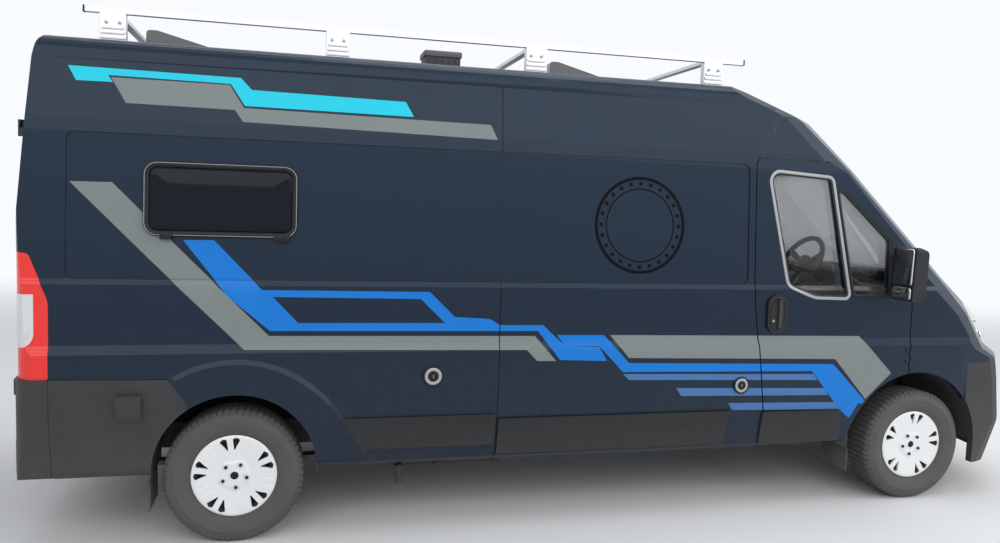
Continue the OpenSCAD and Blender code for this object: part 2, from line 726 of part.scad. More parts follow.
module tyre_rear_left() { color("#1d1d1e") left() translate([rear_axle_x, rear_wheel_y, axle_z]) tyre(); }
module rim_rear_left() { color("#b9bcbf") left() translate([rear_axle_x, rear_wheel_y, axle_z]) wheel_rim(); }

// Cab
driver_y = half_width - 595;
seat_y = half_width - 555;
module dashboard() {
    color("#26282a") union() {
        prism_xz(rounded([[2259.6, 930, 0], [2259.6, 1280, 0], [2060, 1290, 30], [1830, 1190, 60], [1800,
            1080, 40],
            [1900, 900, 20]]), -dash_half, dash_half);
        translate([1860, -driver_y, 1120]) rotate([0, -55, 0]) cylinder(r = 32, h = 150);
    }
}
module steering_wheel() {
    color("#1d1e20") translate([1860, -driver_y, 1120]) rotate([0, -55, 0]) translate([0, 0, 150 + seat_gap]) {
        rotate_extrude($fn = 48) translate([178, 22]) circle(r = 14, $fn = 20);
        cylinder(r = 60, h = 26);
        for (a = [0, 120, 240]) rotate(a) block(40, 172, -16, 16, 8, 24);
    }
}
module cab_seat() {
    block(960, 1420, -210, 210, floor_z, 700);
    prism_xz(rounded([[930, 700, 0], [1500, 700, 20], [1500, 850, 60], [930, 800, 20]]), -245, 245);
    prism_xz(rounded([[930, 790, 0], [1050, 790, 0], [960, 1480, 40], [860, 1480, 40]]), -240, 240);
    prism_xz(rounded([[865, 1470, 20], [955, 1470, 20], [945, 1660, 30], [870, 1660, 30]]), -130, 130);
}
module cab_seats() {
    color("#3a3b3e") for (y = [-seat_y, seat_y]) translate([40, y, 0]) cab_seat();
}

// Roof
rack_rear_x = rear_x + 294;
rack_front_x = 860;
rack_foot_inset = [130, 199];
rack_feet = [for (i = [0:3]) rack_rear_x + rack_foot_inset[0]
    + i * (rack_front_x - rack_foot_inset[1] - rack_rear_x - rack_foot_inset[0]) / 3];
rack_z = roof_height - 26 + rack_rise - 20;
rail_size = 30;
module roof_rack() {
    color("#c9ccce") difference() {
        union() {
            both() {
                block(rack_rear_x, rack_front_x, -rack_half - rail_size / 2, -rack_half + rail_size / 2,
                    rack_z, rack_z + rail_size);
                for (x = rack_feet) block(x - 60, x + 60, -rack_half - 22, -rack_half + 22,
                    roof_height - 80, rack_z + 4);
            }
            for (x = rack_feet) block(x - 20, x + 20, -rack_half, rack_half, rack_z + 4, rack_z + 26);
        }
        section_form(-seat_gap);
    }
}
fan_x = [rear_x + 689, 40];
fan_half = 235;
module roof_fans() {
    color("#5c6165") difference() {
        for (x = fan_x) {
            block(x - fan_half, x + fan_half, -fan_half, fan_half, roof_height - 60, roof_height + 22);
            prism_xz(rounded([[x - 205, roof_height + 20, 0], [x + 225, roof_height + 20, 0], [x + 215,
                roof_height + 45, 15],
                [x - 150, roof_height + 140, 40], [x - 205, roof_height + 138, 20]]), -215, 215);
        }
        section_form(-seat_gap);
    }
}
flaps = [[rear_arch.x - rear_arch.z, 190, rear_wheel_y], [front_arch.x - front_arch.z - 8, 205,
    front_wheel_y]];
module mud_flaps() {
    color("#141516") both() for (f = flaps)
        block(f.x - 8, f.x, f.z - 110, f.z + 130, f.y, sill_height - seat_gap);
}
// Round filler covers: forward place, height, radius
filler_covers = [[rear_axle_x + 993, 843, 56], [door_rear_x - 66, 753, 50]];
hookup_outline = box_outline(rear_axle_x - 543, 655, rear_axle_x - 424, 781, 12);
module service_caps() {
    color("#1b1c1e") {
        for (c = filler_covers) intersection() {
            difference() { section_form(-7); section_form(-seat_gap); }
            axle_rod(c.x, -side_y, -skin_y, c.y, c.z);
        }
        intersection() {
            difference() { section_form(-30); section_form(-cladding_thick - seat_gap); }
            prism_xz(rounded(hookup_outline), -side_y, -skin_y);
        }
    }
}

// Doors. A hinge has a lower half on the body and an upper half on the door, on one upright pin
hinge_radius = 6;
pin_radius = 3;
pin_clear = 0.3;
front_hinge = [door_front_x + shut_gap / 2, -half_width - 3];
front_hinge_z = [845, 915];
rear_hinge = [rear_face_x - 17, -rear_opening_half - shut_gap / 2];
rear_hinge_z = [900, 1450, 2000];
rear_hinge_radius = 9;
hinge_half = 40;
module hinge_pins() {
    color("#1b1c1e") both() {
        difference() {
            union() {
                axle_rod(hood_hinge.x, hood_hinge_y - 45, hood_hinge_y - 15 - seat_gap, hood_hinge.y,
                    hood_hinge_radius);
                block(hood_hinge.x - 16, hood_hinge.x, hood_hinge_y - 45, hood_hinge_y - 15 - seat_gap,
                    cowl_z - 20, hood_hinge.y);
            }
            nose_form(-seat_gap);
        }
        axle_rod(hood_hinge.x, hood_hinge_y - 30, hood_hinge_y + 12, hood_hinge.y, pin_radius);
        for (z = front_hinge_z) {
            post(front_hinge.x, front_hinge.y, z, z + 20, hinge_radius);
            post(front_hinge.x, front_hinge.y, z, z + 38, pin_radius);
            block(front_hinge.x, front_hinge.x + shut_gap / 2, front_hinge.y, -half_width + 30, z, z + 20);
        }
        for (z = rear_hinge_z) {
            post(rear_hinge.x, rear_hinge.y, z, z + hinge_half, rear_hinge_radius);
            post(rear_hinge.x, rear_hinge.y, z, z + 2 * hinge_half - 4, 4);
            difference() {
                block(rear_hinge.x, rear_face_x + 60, rear_hinge.y - 34, rear_hinge.y - 2, z, z + hinge_half);
                intersection() { section_form(-seat_gap); plan_form(-seat_gap); rear_form(-seat_gap); }
            }
        }
    }
}
module front_door() {
    difference() {
        union() {
            difference() {
                intersection() {
                    body_skin_mid();
                    prism_xz(rounded(door_outline), -side_y, -half_width + 145);
                }
                arch_cut(front_arch);
                prism_xz(rounded(door_window), -side_y, -skin_y);
                prism_xz(rounded(quarter_window), -side_y, -skin_y);
                for (z = front_hinge_z) post(front_hinge.x, front_hinge.y, z - 2, z + 42, hinge_radius + 4);
            }
            for (z = front_hinge_z) {
                post(front_hinge.x, front_hinge.y, z + 20 + seat_gap, z + 38, hinge_radius);
                block(door_front_x - 30, front_hinge.x - 1, front_hinge.y, -half_width + 30,
                    z + 20 + seat_gap, z + 38);
            }
        }
        for (z = front_hinge_z) post(front_hinge.x, front_hinge.y, z, z + 42, pin_radius + pin_clear);
    }
}
module door_panes() {
    intersection() {
        difference() { section_form(6); section_form(11); }
        union() {
            prism_xz(rounded(inset(door_window, seat_gap)), -side_y, -skin_y);
            prism_xz(rounded(inset(quarter_window, seat_gap)), -side_y, -skin_y);
        }
    }
}
mirror_y = -half_width - 225;
mirror_width = 190;
mirror_outline = [[1747, 1268, 25], [1837, 1258, 35], [1845, 1560, 35], [1760, 1592, 25]];
mirror_arm_z = [1290, 1480];
handle_outline = box_outline(965, 1055, 1092, 1280, 60);
module door_fittings() {
    intersection() {
        prism_xz(rounded(mirror_outline), mirror_y, mirror_y + mirror_width);
        prism_yz(rounded(box_outline(mirror_y, 1258, mirror_y + mirror_width, 1592, 38)), 1700, 1900);
    }
    difference() {
        for (z = mirror_arm_z) block(1812, 1837, mirror_y + mirror_width - 10, -skin_y - 100, z, z + 40);
        section_form(-seat_gap);
    }
    outer_plate(rounded(handle_outline), 16);
    outer_plate(rounded(door_moulding), moulding_thick);
}
module door_right() { color("#2b333c") front_door(); }
module door_glass_right() { color("#3a4348", 0.5) door_panes(); }
module door_fittings_right() { color("#1b1c1e") door_fittings(); }
module door_left() { color("#2b333c") left() front_door(); }
module door_glass_left() { color("#3a4348", 0.5) left() door_panes(); }
module door_fittings_left() { color("#1b1c1e") left() door_fittings(); }
module rear_door() {
    difference() {
        union() {
            difference() {
                intersection() {
                    difference() { rear_form(0); rear_form(wall); }
                    block(rear_x, rear_face_x + 300, -rear_opening_half, -shut_gap / 2, rear_step_z + 8,
                        roof_seam_z - shut_gap);
                }
                prism_yz(rounded(rear_window), rear_x, rear_x + 499);
            }
            for (z = rear_hinge_z) {
                post(rear_hinge.x, rear_hinge.y, z + hinge_half + seat_gap, z + 2 * hinge_half,
                    rear_hinge_radius);
                difference() {
                    block(rear_hinge.x, rear_face_x + 80, rear_hinge.y, rear_hinge.y + 110,
                        z + hinge_half + seat_gap, z + 2 * hinge_half);
                    rear_form(5);
                    block(rear_face_x - 4, rear_x + 200, rear_hinge.y - 1, -rear_opening_half, z, z + 100);
                }
            }
        }
        for (z = rear_hinge_z) {
            post(rear_hinge.x, rear_hinge.y, z, z + 2 * hinge_half + 1, 4.3);
            post(rear_hinge.x, rear_hinge.y, z - 2, z + hinge_half, rear_hinge_radius + 2);
        }
    }
}
module rear_pane() {
    intersection() {
        difference() { rear_form(6); rear_form(11); }
        prism_yz(rounded(inset(rear_window, seat_gap)), rear_x, rear_x + 499);
    }
}
module rear_door_right() { color("#2b333c") rear_door(); }
module rear_glass_right() { color("#20262b") rear_pane(); }
module rear_door_left() { color("#2b333c") left() rear_door(); }
module rear_glass_left() { color("#20262b") left() rear_pane(); }

roof();
quarter_right();
quarter_left();
mid_panel_right();
sliding_door();
cab_frame();
floor_pan();
wings();
hood();
front_bumper();
grille();
headlamps();
windscreen();
tail_lamps();
rear_bumper();
rear_claddings();
side_mouldings();
window_frames();
window_panes();
wheel_liners();
engine_block();
front_subframe();
rear_axle();
underfloor_tanks();
dashboard();
steering_wheel();
cab_seats();
roof_rack();
roof_fans();
mud_flaps();
service_caps();
hinge_pins();
door_right();
door_glass_right();
door_fittings_right();
door_left();
door_glass_left();
door_fittings_left();
rear_door_right();
rear_glass_right();
rear_door_left();
rear_glass_left();
knuckle_right();
knuckle_left();
tyre_front_right();
rim_front_right();
tyre_front_left();
rim_front_left();
tyre_rear_right();
rim_rear_right();
tyre_rear_left();
rim_rear_left();
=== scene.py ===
import bpy
import bmesh
import json
import math
from mathutils import Matrix, Vector
from mathutils.bvhtree import BVHTree
from mathutils.geometry import delaunay_2d_cdt


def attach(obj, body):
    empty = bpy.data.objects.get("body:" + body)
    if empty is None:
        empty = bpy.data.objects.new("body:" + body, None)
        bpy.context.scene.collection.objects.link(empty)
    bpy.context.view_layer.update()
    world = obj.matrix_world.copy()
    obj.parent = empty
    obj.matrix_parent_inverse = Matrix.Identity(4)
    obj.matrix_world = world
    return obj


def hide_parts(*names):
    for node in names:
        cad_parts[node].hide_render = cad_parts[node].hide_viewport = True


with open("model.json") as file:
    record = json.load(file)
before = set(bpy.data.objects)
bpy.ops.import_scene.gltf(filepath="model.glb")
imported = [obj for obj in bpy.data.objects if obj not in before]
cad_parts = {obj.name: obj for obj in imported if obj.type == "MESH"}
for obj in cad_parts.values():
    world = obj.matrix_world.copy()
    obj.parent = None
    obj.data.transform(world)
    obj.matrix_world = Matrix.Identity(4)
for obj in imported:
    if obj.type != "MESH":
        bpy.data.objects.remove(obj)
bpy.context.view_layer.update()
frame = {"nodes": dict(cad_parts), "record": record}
scene = bpy.context.scene
sides = {"right": -1, "left": 1}                     # sign of y on each side
print("frame loaded:", len(frame["nodes"]), "nodes")

# camera, as fitted to the photograph
cameraSet = {
    "place": (-1.714, -5.197, 1.762),
    "yaw": 14.33,      # to the right of straight across the van
    "pitch": -4.84,
    "roll": 1.94,
    "focalPixels": 817.2,
    "imageSize": (1000, 543),
    "sensor": 36.0,
    "farClip": 200,
}


def cameraAxes():
    yaw, pitch, roll = (math.radians(cameraSet[k]) for k in ("yaw", "pitch", "roll"))
    ahead = Vector((math.sin(yaw) * math.cos(pitch), math.cos(yaw) * math.cos(pitch), math.sin(pitch)))
    level = Vector((math.cos(yaw), -math.sin(yaw), 0))
    up = level.cross(ahead)
    right = level * math.cos(roll) + up * math.sin(roll)
    upright = up * math.cos(roll) - level * math.sin(roll)
    return right, upright, ahead


def makeCamera():
    data = bpy.data.cameras.new("photoCamera")
    data.sensor_width = cameraSet["sensor"]
    data.lens = cameraSet["sensor"] * cameraSet["focalPixels"] / cameraSet["imageSize"][0]
    data.clip_end = cameraSet["farClip"]
    cam = bpy.data.objects.new("photoCamera", data)
    right, up, ahead = cameraAxes()
    turn = Matrix((right, up, -ahead)).transposed().to_4x4()
    cam.matrix_world = Matrix.Translation(cameraSet["place"]) @ turn
    scene.collection.objects.link(cam)
    scene.camera = cam


makeCamera()

# floor, light and world
stageSet = {
    "floorSize": 60,
    "floorColour": (0.86, 0.87, 0.88, 1),
    "floorRough": 0.85,
    "fade": (6.5, 15.0),           # distance over which the floor gives way to the background
    "worldColour": (0.95, 0.97, 1.0, 1),
    "worldLight": 0.50,
    "lamps": {                     # place, target, size, power
        "sideLamp": ((-0.5, -10.5, 7.0), (0, -1.0, 1.2), (22, 6), 620),
        "topLamp": ((0.5, 0.5, 8.5), (0, 0, 1.5), (9, 5), 300),
        "frontLamp": ((8.5, -4.0, 5.0), (2.0, 0, 1.0), (4, 4), 160),
    },
}
materials = {}


def feed(tree, socket, value):
    # links a socket, or sets it to a plain value
    if isinstance(value, bpy.types.NodeSocket):
        tree.links.new(value, socket)
    else:
        socket.default_value = value


def addNode(tree, kind, inputs={}, **settings):
    node = tree.nodes.new(kind)
    for key, value in settings.items():
        setattr(node, key, value)
    for key, value in inputs.items():
        feed(tree, node.inputs[key], value)
    return node


def startMaterial(name):
    mat = materials[name] = bpy.data.materials.new(name)
    mat.use_nodes = True
    tree = mat.node_tree
    place = addNode(tree, "ShaderNodeTexCoord").outputs["Object"]
    return tree, tree.nodes["Principled BSDF"], place


def makeFloor():
    s = stageSet["floorSize"]
    mesh = bpy.data.meshes.new("floor")
    mesh.from_pydata([(-s, -s, 0), (s, -s, 0), (s, s, 0), (-s, s, 0)], [], [(0, 1, 2, 3)])
    floor = bpy.data.objects.new("floor", mesh)
    scene.collection.objects.link(floor)
    tree, shader, place = startMaterial("floorPale")
    shader.inputs["Base Color"].default_value = stageSet["floorColour"]
    shader.inputs["Roughness"].default_value = stageSet["floorRough"]
    far = addNode(tree, "ShaderNodeVectorMath", {0: place}, operation="LENGTH")
    first, last = stageSet["fade"]
    fade = addNode(tree, "ShaderNodeMapRange", {"Value": far.outputs["Value"], "From Min": first,
                                                "From Max": last}, interpolation_type="SMOOTHSTEP")
    gone = addNode(tree, "ShaderNodeBsdfTransparent")
    blend = addNode(tree, "ShaderNodeMixShader", {"Fac": fade.outputs["Result"], 1: shader.outputs[0],
                                                  2: gone.outputs[0]})
    feed(tree, tree.nodes["Material Output"].inputs["Surface"], blend.outputs[0])
    mesh.materials.append(materials["floorPale"])


def makeLight():
    world = bpy.data.worlds.new("studio")
    scene.world = world
    world.use_nodes = True
    tree = world.node_tree
    shown = 0.0                                      # pale to the eye, in reflections and through glass
    path = addNode(tree, "ShaderNodeLightPath")
    for ray in ("Is Camera Ray", "Is Transmission Ray", "Is Glossy Ray"):
        shown = addNode(tree, "ShaderNodeMath", {0: shown, 1: path.outputs[ray]}, operation="MAXIMUM").outputs[0]
    level = addNode(tree, "ShaderNodeMapRange", {"Value": shown, "To Min": stageSet["worldLight"], "To Max": 1.0})
    back = tree.nodes["Background"]
    back.inputs["Color"].default_value = stageSet["worldColour"]
    feed(tree, back.inputs["Strength"], level.outputs["Result"])
    for name, (place, target, size, power) in stageSet["lamps"].items():
        data = bpy.data.lights.new(name, "AREA")
        data.shape = "RECTANGLE"
        data.size, data.size_y = size
        data.energy = power
        lamp = bpy.data.objects.new(name, data)
        lamp.location = place
        lamp.rotation_euler = (Vector(target) - Vector(place)).to_track_quat("-Z", "Y").to_euler()
        scene.collection.objects.link(lamp)
    scene.view_settings.view_transform = "Standard"


makeFloor()
makeLight()
print("camera and stage ready")

# looks that go straight to a socket, with their usual value
plainLooks = {
    "metal": ("Metallic", 0.0), "ior": ("IOR", 1.5), "coat": ("Coat Weight", 0.0),
    "coatRough": ("Coat Roughness", 0.03), "clear": ("Transmission Weight", 0.0), "sheen": ("Sheen Weight", 0.0),
    "specular": ("Specular IOR Level", 0.5), "alpha": ("Alpha", 1.0),
}
dustSet = {"colour": (0.26, 0.24, 0.21), "scale": 22.0, "detail": 8.0}
flakeFrom = 0.55                                     # cells brighter than this show as flake


def makeSurface(name, colour, second, rough, grain, look):
    # one principled shader; colour, roughness and relief vary with noise on object coordinates
    tree, shader, place = startMaterial(name)
    for key, (socket, usual) in plainLooks.items():
        shader.inputs[socket].default_value = look.get(key, usual)
    shader.inputs["Specular Tint"].default_value = (*look.get("tint", (1, 1, 1)), 1)
    tone = (*colour, 1)
    shader.inputs["Base Color"].default_value = tone

    def noise(scale, detail, vector=place):
        made = addNode(tree, "ShaderNodeTexNoise", {"Vector": vector, "Scale": scale, "Detail": detail})
        return made.outputs["Fac"]

    def mixTone(share, other):
        mix = addNode(tree, "ShaderNodeMix", {"Factor": share, "A": tone, "B": (*other, 1)}, data_type="RGBA")
        return mix.outputs["Result"]

    if second:                                       # broad change of tone
        tone = mixTone(noise(look.get("blotchScale", 6.0), 6.0), second)
    if "dust" in look:                               # road dust thickens towards the ground
        amount, top, depth = look["dust"]
        split = addNode(tree, "ShaderNodeSeparateXYZ", {0: place})
        fade = addNode(tree, "ShaderNodeMapRange", {"Value": split.outputs["Z"], "From Min": top,
                                                    "From Max": top - depth, "To Max": amount})
        patchy = addNode(tree, "ShaderNodeMath", {0: fade.outputs["Result"],
                                                  1: noise(dustSet["scale"], dustSet["detail"])},
                         operation="MULTIPLY")
        tone = mixTone(patchy.outputs[0], dustSet["colour"])
    if "flake" in look:                              # metal flake under the lacquer
        amount, scale, bright = look["flake"]
        flake = addNode(tree, "ShaderNodeTexVoronoi", {"Vector": place, "Scale": scale})
        lit = addNode(tree, "ShaderNodeMapRange", {"Value": flake.outputs["Color"], "From Min": flakeFrom,
                                                   "From Max": 1.0, "To Max": amount})
        tone = mixTone(lit.outputs["Result"], bright)
    feed(tree, shader.inputs["Base Color"], tone)
    scale, height, strength = grain
    stretch = addNode(tree, "ShaderNodeMapping", {"Vector": place, "Scale": look.get("grainStretch", (1, 1, 1))})
    fine = noise(scale, 4.0, stretch.outputs["Vector"])
    spread = look.get("roughSpread", 0.06)
    varied = addNode(tree, "ShaderNodeMapRange", {"Value": fine, "To Min": max(rough - spread, 0.01),
                                                  "To Max": rough + spread})
    feed(tree, shader.inputs["Roughness"], varied.outputs["Result"])
    if height:
        bump = addNode(tree, "ShaderNodeBump", {"Height": fine, "Distance": height, "Strength": strength})
        feed(tree, shader.inputs["Normal"], bump.outputs["Normal"])


# colour, second tone, roughness, grain as scale, height and strength, and what isn't usual;
# dust is amount, top and depth; flake is amount, scale and colour; a stretched grain reads as brushed
filmGrain = (220, 0.0002, 0.05)
surfaceLooks = {
    "nightPaint": ((0.0045, 0.0105, 0.024), (0.006, 0.0135, 0.031), 0.34, (160, 0.0002, 0.03),
                   dict(metal=0.1, specular=0.26, tint=(0.60, 0.82, 1.0), coat=0.18, coatRough=0.02,
                        flake=(0.25, 900, (0.04, 0.06, 0.10)), dust=(0.10, 1.15, 0.8))),
    "greyVinyl": ((0.205, 0.232, 0.232), (0.222, 0.248, 0.250), 0.34, filmGrain, dict(specular=0.25)),
    "blueVinyl": ((0.004, 0.185, 0.64), (0.005, 0.20, 0.68), 0.32, filmGrain, dict(specular=0.25)),
    "cyanVinyl": ((0.005, 0.62, 0.80), (0.006, 0.65, 0.84), 0.32, filmGrain, dict(specular=0.25)),
    "lineVinyl": ((0.05, 0.16, 0.40), (0.06, 0.18, 0.44), 0.30, filmGrain, dict(specular=0.25, coat=0.3)),
    "shadeVinyl": ((0.003, 0.003, 0.004), (0.004, 0.004, 0.006), 0.5, filmGrain, dict(specular=0.07)),
    "grainedPlastic": ((0.030, 0.031, 0.033), (0.043, 0.044, 0.046), 0.55, (900, 0.0006, 0.35),
                       dict(roughSpread=0.12, specular=0.35, dust=(0.3, 0.7, 0.6))),
    "sillPlastic": ((0.014, 0.015, 0.017), (0.020, 0.021, 0.023), 0.5, (700, 0.0005, 0.25),
                    dict(specular=0.3, dust=(0.22, 0.7, 0.5))),
    "smoothPlastic": ((0.010, 0.010, 0.011), (0.015, 0.015, 0.017), 0.36, (500, 0.0003, 0.12),
                      dict(specular=0.25)),
    "underseal": ((0.014, 0.014, 0.015), (0.03, 0.029, 0.028), 0.8, (160, 0.002, 0.5), dict(dust=(0.5, 0.8, 0.7))),
    "clearLens": ((0.95, 0.97, 0.98), None, 0.03, (300, 0, 0), dict(roughSpread=0.02, clear=1.0, ior=1.49)),
    "redLens": ((0.55, 0.006, 0.010), (0.65, 0.010, 0.014), 0.09, (90, 0.0015, 0.08),
                dict(roughSpread=0.04, clear=0.35, ior=1.49, coat=0.6)),
    "clearGlass": ((0.86, 0.91, 0.90), None, 0.012, (300, 0, 0),
                   dict(roughSpread=0.01, clear=1.0, ior=1.45, alpha=0.20)),
    "tintedAcrylic": ((0.003, 0.006, 0.012), (0.004, 0.008, 0.015), 0.06, (40, 0.001, 0.03),
                      dict(roughSpread=0.03, specular=0.16)),
    "castMetal": ((0.22, 0.22, 0.23), (0.14, 0.14, 0.15), 0.5, (240, 0.001, 0.3),
                  dict(metal=0.8, roughSpread=0.15, dust=(0.6, 0.9, 0.7))),
    "chassisSteel": ((0.035, 0.035, 0.037), (0.07, 0.062, 0.055), 0.6, (180, 0.001, 0.3),
                     dict(metal=0.3, roughSpread=0.15, dust=(0.6, 0.8, 0.7))),
    "cabinPlastic": ((0.045, 0.046, 0.050), (0.055, 0.056, 0.060), 0.62, (700, 0.0006, 0.3), {}),
    "railAluminium": ((0.62, 0.64, 0.66), (0.70, 0.72, 0.74), 0.36, (120, 0.0003, 0.12),
                      dict(metal=0.85, roughSpread=0.10, grainStretch=(0.03, 1, 1))),
    "smokedPlastic": ((0.05, 0.055, 0.062), (0.07, 0.076, 0.084), 0.16, (60, 0.001, 0.04), dict(coat=0.4)),
    "flapRubber": ((0.014, 0.014, 0.014), (0.025, 0.024, 0.023), 0.75, (260, 0.0008, 0.3),
                   dict(dust=(0.9, 0.5, 0.4))),
    "tyreRubber": ((0.070, 0.068, 0.064), (0.105, 0.101, 0.094), 0.76, (420, 0.0006, 0.25),
                   dict(roughSpread=0.1, blotchScale=9)),
    "rimSilver": ((0.84, 0.85, 0.85), (0.88, 0.89, 0.89), 0.36, (900, 0.0003, 0.08),
                  dict(metal=0.12, coat=0.5, coatRough=0.08)),
    "rimSteel": ((0.012, 0.012, 0.013), (0.020, 0.020, 0.021), 0.5, (300, 0.0004, 0.15), dict(specular=0.25)),
    "boltSteel": ((0.42, 0.42, 0.43), (0.34, 0.33, 0.32), 0.34, (500, 0.0003, 0.15), dict(metal=1.0)),
    "sealRubber": ((0.010, 0.010, 0.010), (0.016, 0.016, 0.016), 0.6, (400, 0.0003, 0.2), {}),
    "windowTrim": ((0.36, 0.37, 0.38), (0.42, 0.43, 0.44), 0.34, (500, 0.0002, 0.08), dict(metal=0.3)),
    "seatCloth": ((0.032, 0.034, 0.038), (0.05, 0.052, 0.056), 0.9, (1100, 0.0012, 0.5), dict(sheen=0.3)),
    "chromeBowl": ((0.78, 0.79, 0.80), None, 0.10, (60, 0.001, 0.1), dict(roughSpread=0.04, metal=1.0)),
    "amberLens": ((0.70, 0.20, 0.01), (0.80, 0.26, 0.02), 0.12, (90, 0.001, 0.1), dict(coat=0.7)),
    "reverseLens": ((0.66, 0.68, 0.68), (0.74, 0.76, 0.76), 0.12, (90, 0.001, 0.15),
                    dict(roughSpread=0.05, specular=0.35, coat=0.3, blotchScale=40)),
    "whitePlastic": ((0.66, 0.67, 0.67), (0.72, 0.73, 0.73), 0.40, (400, 0.0004, 0.12), {}),
    "boxGrey": ((0.10, 0.105, 0.11), (0.13, 0.135, 0.14), 0.5, (400, 0.0004, 0.15), {}),
    "mirrorGlass": ((0.72, 0.76, 0.78), None, 0.02, (20, 0, 0), dict(roughSpread=0.01, metal=1.0)),
    "quiltedFoil": ((0.80, 0.81, 0.82), (0.97, 0.97, 0.98), 0.5, (55, 0.006, 0.4),
                    dict(clear=0.8, specular=0.3, blotchScale=16)),
}
for surfaceName, surfaceLook in surfaceLooks.items():
    makeSurface(surfaceName, *surfaceLook)

# finish of each CAD node by the record's material slot
slotSurfaces = {
    "paint": "nightPaint", "dark_plastic": "grainedPlastic", "grille_black": "smoothPlastic",
    "underbody": "underseal", "lamp_clear": "clearLens", "lamp_red": "redLens", "clear_glass": "clearGlass",
    "tinted_glass": "tintedAcrylic", "engine_metal": "castMetal", "chassis_metal": "chassisSteel",
    "trim_plastic": "cabinPlastic", "seat_fabric": "seatCloth", "rack_aluminium": "railAluminium",
    "fan_plastic": "smokedPlastic", "flap_rubber": "flapRubber", "tyre": "tyreRubber", "rim_silver": "rimSilver",
}
rimNodes = ["rim_front_right", "rim_front_left", "rim_rear_right", "rim_rear_left"]
sillNodes = ["side_mouldings", "door_fittings_right", "door_fittings_left"]
# nodes that look unlike their slot
nodeSurfaces = {**dict.fromkeys(sillNodes, "sillPlastic"), **dict.fromkeys(rimNodes, "rimSteel")}
edgeSet = {
    "softNodes": ["roof", "quarter_right", "quarter_left", "mid_panel_right", "sliding_door", "cab_frame", "wings",
                  "hood", "front_bumper", "grille", "rear_bumper", "rear_claddings", "window_frames", "door_right",
                  "door_left", "rear_door_right", "rear_door_left", "headlamps", "tail_lamps", "roof_rack",
                  "roof_fans", "dashboard", "mud_flaps", "service_caps", *sillNodes, *rimNodes],
    "merge": 0.00002,
    "width": 0.0022,
    "angle": 38,
}


def finishNodes():
    # every CAD node gets its surface; panels also get merged points and softened edges
    for part in frame["record"]["subparts"]:
        node = frame["nodes"][part["node"]]
        mat = materials[nodeSurfaces.get(part["node"], slotSurfaces[part["material_slot"]])]
        if not node.material_slots:
            node.data.materials.append(mat)
        for s in node.material_slots:
            s.link = "OBJECT"
            s.material = mat
        if node.name in edgeSet["softNodes"]:
            weld = node.modifiers.new("mergePoints", "WELD")
            weld.merge_threshold = edgeSet["merge"]
            bevel = node.modifiers.new("softEdges", "BEVEL")
            bevel.width = edgeSet["width"]
            bevel.segments = 2
            bevel.limit_method = "ANGLE"
            bevel.angle_limit = math.radians(edgeSet["angle"])
            bevel.harden_normals = True


finishNodes()
print("surfaces set on", len(frame["nodes"]), "nodes")


# shared making of pieces
def keepPiece(name, bm, mats, body="body", smoothAngle=35):
    mesh = bpy.data.meshes.new(name)
    bm.normal_update()
    bm.to_mesh(mesh)
    bm.free()
    for m in mats:
        mesh.materials.append(materials[m])
    for p in mesh.polygons:
        p.use_smooth = True
    mesh.set_sharp_from_angle(angle=math.radians(smoothAngle))
    piece = bpy.data.objects.new(name, mesh)
    scene.collection.objects.link(piece)
    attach(piece, body)
    return piece


def treeOf(*names):
    # ray tree over the meshes of some CAD nodes
    verts, faces = [], []
    for n in names:
        mesh = frame["nodes"][n].data
        start = len(verts)
        verts += [v.co.copy() for v in mesh.vertices]
        faces += [[start + i for i in p.vertices] for p in mesh.polygons]
    return BVHTree.FromPolygons(verts, faces)


def lerp(a, b, t):
    return a + (b - a) * t


def alongLine(line, at):
    # second value of a line of points, over a place between their first values
    for (a, low), (b, high) in zip(line, line[1:]):
        if a <= at <= b:
            return low + (high - low) * (at - a) / (b - a)
    return line[-1][1]


def circle(radius, steps, middle=(0, 0)):
    return [Vector((middle[0] + radius * math.cos(math.tau * i / steps),
                    middle[1] + radius * math.sin(math.tau * i / steps))) for i in range(steps)]


def insideLoop(point, loop):
    inside = False
    for a, b in zip(loop, loop[1:] + loop[:1]):
        if (a.y > point.y) != (b.y > point.y):
            if point.x < (b.x - a.x) * (point.y - a.y) / (b.y - a.y) + a.x:
                inside = not inside
    return inside


def loopEdges(loops):
    # points of some closed outlines, and the edges between them
    points, edges = [], []
    for loop in loops:
        start = len(points)
        points += loop
        edges += [(start + i, start + (i + 1) % len(loop)) for i in range(len(loop))]
    return points, edges


def loftMesh(rows, closed=True, ends=(), outward=True):
    # skin over rows of points, with some rows closed by a face
    bm = bmesh.new()
    made = [[bm.verts.new(p) for p in row] for row in rows]
    n = len(rows[0])
    for a, b in zip(made, made[1:]):
        for i in range(n if closed else n - 1):
            j = (i + 1) % n
            bm.faces.new([a[i], a[j], b[j], b[i]])
    for k in ends:
        bm.faces.new(made[k])
    if outward:
        bmesh.ops.recalc_face_normals(bm, faces=bm.faces)
    return bm


def lathe(profile, segments, mat=0):
    # turns (radius, y) points about the Y axis; an end on the axis closes itself
    bm = bmesh.new()
    rings = []
    for radius, y in profile:
        if radius < 1e-6:
            rings.append([bm.verts.new((0, y, 0))] * segments)
        else:
            rings.append([bm.verts.new((p.x, y, p.y)) for p in circle(radius, segments)])
    for a, b in zip(rings, rings[1:]):
        for i in range(segments):
            j = (i + 1) % segments
            corners = list(dict.fromkeys([a[i], a[j], b[j], b[i]]))
            if len(corners) > 2:
                bm.faces.new(corners).material_index = mat
    bmesh.ops.recalc_face_normals(bm, faces=bm.faces)
    return bm


